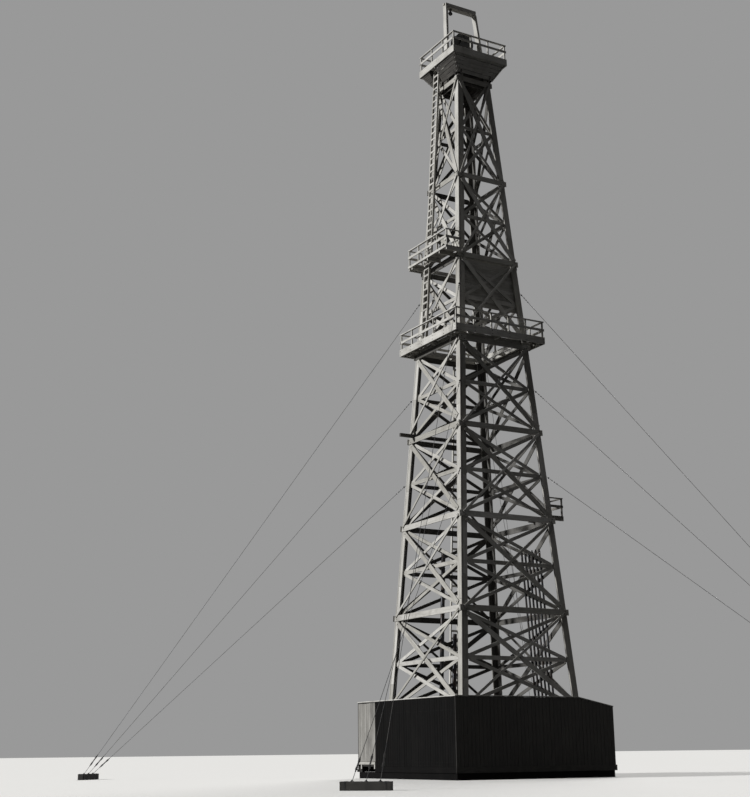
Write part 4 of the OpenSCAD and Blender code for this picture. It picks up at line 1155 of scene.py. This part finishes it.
bm = bmesh.new()
x = -GIN_LEFT + GIN_T + 0.090
pulley = HUB + RIM + GROOVE + [(r, -y) for r, y in (HUB + RIM)[::-1]]
lie = Matrix.Translation((x, 0, z1 - 0.140)) @ Matrix.Rotation(math.pi / 2, 4, "X")
lathe(bm, pulley, lie, 32)
# the strap: two cheeks and the plate that joins them under the beam
for y0, y1, drop in ((-0.030, -0.024, 0.165), (0.024, 0.030, 0.165), (-0.030, 0.030, 0.012)):
    block(bm, (x - 0.016, y0, z1 - drop), (x + 0.016, y1, z1 - 0.0005), nick=0.001)
cast("gin_pulley", bm, black_grease, "iron", "gin_frame")

spots = [(-0.545, z1 - 0.05), (-0.505, z1 + 0.07), (0.44, z1 + 0.07), (0.45, z1 - 0.06)]
spots += [(-0.525, CROWN_TOP + 0.06), (0.675, CROWN_TOP + 0.06)]
bolts = [(Vector((x, s * half, z)), Vector((0, s, 0))) for s in (-1, 1) for x, z in spots]
drive_bolts("gin_bolts", bolts, 0.016, 0.034)

# Ladders
# Two stiles with flat boards nailed across their outer edges for rungs: up the back to
# the gallery, from there to the landing, and from the landing to the crown.
STILE_W, STILE_D, STILE_STOCK = 0.036, 0.060, 3.1
RUNG_GAP, RUNG_W, RUNG_T = 0.195, 0.055, 0.020
LADDER_C = PLANK_T + LADDER_OFF
planks, nails = [], []
for side, a, z0, z1 in (
    (BACK, -MIDDLE_LADDER_Y, FLOOR_TOP, GALLERY_Z),
    (LEFT, -MIDDLE_LADDER_Y, GALLERY_TOP, LANDING_Z + DECK_JOIST_D - GAP),
    (LEFT, -UPPER_LADDER_Y, LANDING_TOP, CROWN_TOP),
):
    out = outward(side)
    for s in (-1, 1):
        x, c = a + s * (LADDER_W - STILE_W) / 2, LADDER_C + STILE_D / 2
        z, head = z0 + LADDER_C * LEAN * 0.2, z1 - 0.012
        while z < z1 - 0.05:
            top = z + STILE_STOCK if z1 - z - STILE_STOCK >= 0.5 else head
            ends = on_side(side, x, z, c), on_side(side, x, top - JOINT, c)
            planks.append(plank(*ends, out, STILE_W, STILE_D - 0.0005))
            z = top
    face = LADDER_C + STILE_D
    for i in range(1, int((z1 - z0) / RUNG_GAP) + 1):
        z = z0 + (i - 0.4) * RUNG_GAP + RUNG_W / 2
        if z <= z1 - 0.06:
            for dx in (-0.112, 0.112):
                nails += [(on_side(side, a + dx, z + dz, face), out) for dz in (-0.012, 0.012)]
            half = LADDER_W / 2 - 0.005
            ends = [on_side(side, a + s * half, z, face - RUNG_T / 2) for s in (-1, 1)]
            planks.append(plank(*ends, out, RUNG_W, RUNG_T, dice.uniform(0, 0.7)))
nail_up("ladder_planks", planks, weathered_pine, "weathered_timber", "ladders")
drive_bolts("rung_nails", nails, 0.004, 0.009)

# Pipes
# Drill pipe racked upright on the floor against the inner planks, each length with its
# tool joint's box and pin, and two joints of wide casing against the back.
DRILL_R, DRILL_L, DRILL_GAP, CASING_R = 0.028, 5.0, 0.150, 0.055
dull_steel = iron("dull pipe steel", "#26272A", "#453B34", 9, 0.75, 0.38, 0.62, 0.0008)


def drill_pipe(r, top):
    """Profile of drill pipe in two lengths, with a tool joint's parts at each end."""
    body, mid = r * 0.93, top / 2
    foot = [(r * 0.8, 0), (r, 0.006), (r, 0.10), (body, 0.115)]
    box = [(body, mid - 0.11), (r, mid - 0.1), (r, mid - 0.002), (body, mid)]
    pin = [(r, mid + 0.002), (r, mid + 0.1), (body, mid + 0.11)]
    head = [(body, top - 0.18), (r, top - 0.165), (r, top - 0.05)]
    return foot + box + pin + head + [(r * 0.72, top - 0.048), (r * 0.58, top)]


def casing(r, top):
    """Profile of casing, with a grooved collar and an open head."""
    groove = [(r, top - 0.17), (r * 0.96, top - 0.168), (r * 0.96, top - 0.162), (r, top - 0.16)]
    head = [(r, top - 0.004), (r * 0.97, top), (r * 0.9, top), (r * 0.88, top - 0.1)]
    return [(r * 0.8, 0), (r, 0.006)] + groove + head


def lie_along(way):
    """The turn that lays what is made along Z along this way."""
    return way.normalized().to_track_quat("Z", "Y").to_matrix().to_4x4()


bm = bmesh.new()
stands = [(RIGHT, (i - 2.5) * DRILL_GAP - 0.450, DRILL_R, DRILL_L, drill_pipe) for i in range(6)]
stands += [(BACK, 0.200, CASING_R, 5.1, casing), (BACK, -0.190, CASING_R, 3.0, casing)]
for side, a, r, length, profile in stands:
    c = -INNER - r - GAP
    z0 = FLOOR_TOP + r * LEAN + 0.001
    foot = on_side(side, a, z0, c)
    turn = lie_along(on_side(side, a, z0 + 1, c) - foot)
    lathe(bm, profile(r, length - 0.01), Matrix.Translation(foot) @ turn, 20)
cast("racked_pipes", bm, dull_steel, "pipe_steel", "pipe_stands")

# Stays
# Twisted wire stays run from the legs down to logs on the ground, three to a corner.
# Each is made fast round the leg under an iron plate with three clips, and drawn taut
# by a bottle screw at its foot.
wire, tree, bsdf = new_material("twisted wire strand")
place = add(tree, "ShaderNodeTexCoord").outputs["Object"]
# lay of the strands, a turn every 60 mm, darkened in its grooves as painted shade, and grease that has
# caught dust
lay = {"Vector": place, "Scale": 16, "Distortion": 0}
lay = add(tree, "ShaderNodeTexWave", lay, wave_type="BANDS", bands_direction="DIAGONAL")
dust = add(tree, NOISE, {"Vector": place, "Scale": 5, "Detail": 4})
dusty = add(tree, RANGE, {"Value": dust, "From Min": 0.4, "From Max": 0.65})
strand = add(tree, MIX, {0: dusty, 6: paint("#35363A"), 7: paint("#5A5854")}, data_type="RGBA")
groove_painted_shade = add(tree, RANGE, {"Value": lay, "From Max": 0.5, "To Min": 0.5})
lay_painted_shade = {0: 1.0, 6: strand.outputs[2], 7: groove_painted_shade}
lay_painted_shade = add(tree, MIX, lay_painted_shade, data_type="RGBA", blend_type="MULTIPLY")
rough = add(tree, RANGE, {"Value": dusty, "To Min": 0.4, "To Max": 0.7})
ridge = add(tree, "ShaderNodeBump", {"Height": lay, "Strength": 0.7, "Distance": 0.002})
feed(bsdf, {"Base Color": lay_painted_shade.outputs[2], "Roughness": rough, "Normal": ridge, "Metallic": 0.7})
coat("stays", wire)

ANCHOR_X, ANCHOR_L, ANCHOR_S, STAY_GAP = 7.500, 0.900, 0.150, 0.250
STAY_ROWS = [(LEVELS[2] + LEVELS[3]) / 2, (LEVELS[3] + LEVELS[4]) / 2, LEVELS[GALLERY_ROW] + 1.530]
SHOE = [(0.010, 0.045), (0.022, 0.050), (0.022, 0.075), (0.010, 0.080)]
SCREW_UP, SCREW_L = 0.62, 0.38
HALF_SCREW = [(0.006, 0), (0.011, 0.01), (0.011, 0.05), (0.020, 0.06), (0.020, 0.12), (0.014, 0.13)]
EYE_PLATE = [(0.034, 0), (0.034, 0.006), (0.016, 0.010), (0.016, 0.022), (0.010, 0.026)]

bm = bmesh.new()
planks = []
far = ANCHOR_X * math.sqrt(2)
for corner in range(4):
    turn = turned_to(corner + 0.5).to_4x4()
    low = Vector((far - ANCHOR_S / 2, -ANCHOR_L / 2, 0))
    planks += moved([beam(low, low + Vector((ANCHOR_S, ANCHOR_L, ANCHOR_S)))], corner + 0.5)
    for y in (-0.36, 0.36):
        block(bm, (far - 0.079, y - 0.02, 0), (far + 0.079, y + 0.02, 0.154), turn, 0.003)
    for i, z in enumerate(STAY_ROWS):
        near = Vector((half_at(z) * math.sqrt(2), 0, z))
        foot = Vector((far, (i - 1) * STAY_GAP, ANCHOR_S))
        lie = turn @ Matrix.Translation(near) @ lie_along(foot - near)
        # iron shoe on the corner of the leg, and the clips below it
        lathe(bm, SHOE, lie, 10)
        for at in (0.16, 0.24, 0.32):
            block(bm, (-0.013, -0.011, at), (0.013, 0.016, at + 0.016), lie)
        # bottle screw: two eyes and a turned body
        at = (foot - near).length - SCREW_UP
        screw = [(r, at + up) for r, up in HALF_SCREW]
        screw += [(r, at + SCREW_L - up) for r, up in HALF_SCREW[::-1]]
        lathe(bm, screw, lie, 12)
        lathe(bm, EYE_PLATE, turn @ Matrix.Translation((foot.x, foot.y, ANCHOR_S)), 12)
cast("stay_fittings", bm, wrought, "iron")
nail_up("anchor_logs", planks, tarred_pine, "tarred_timber", "stay_anchors")
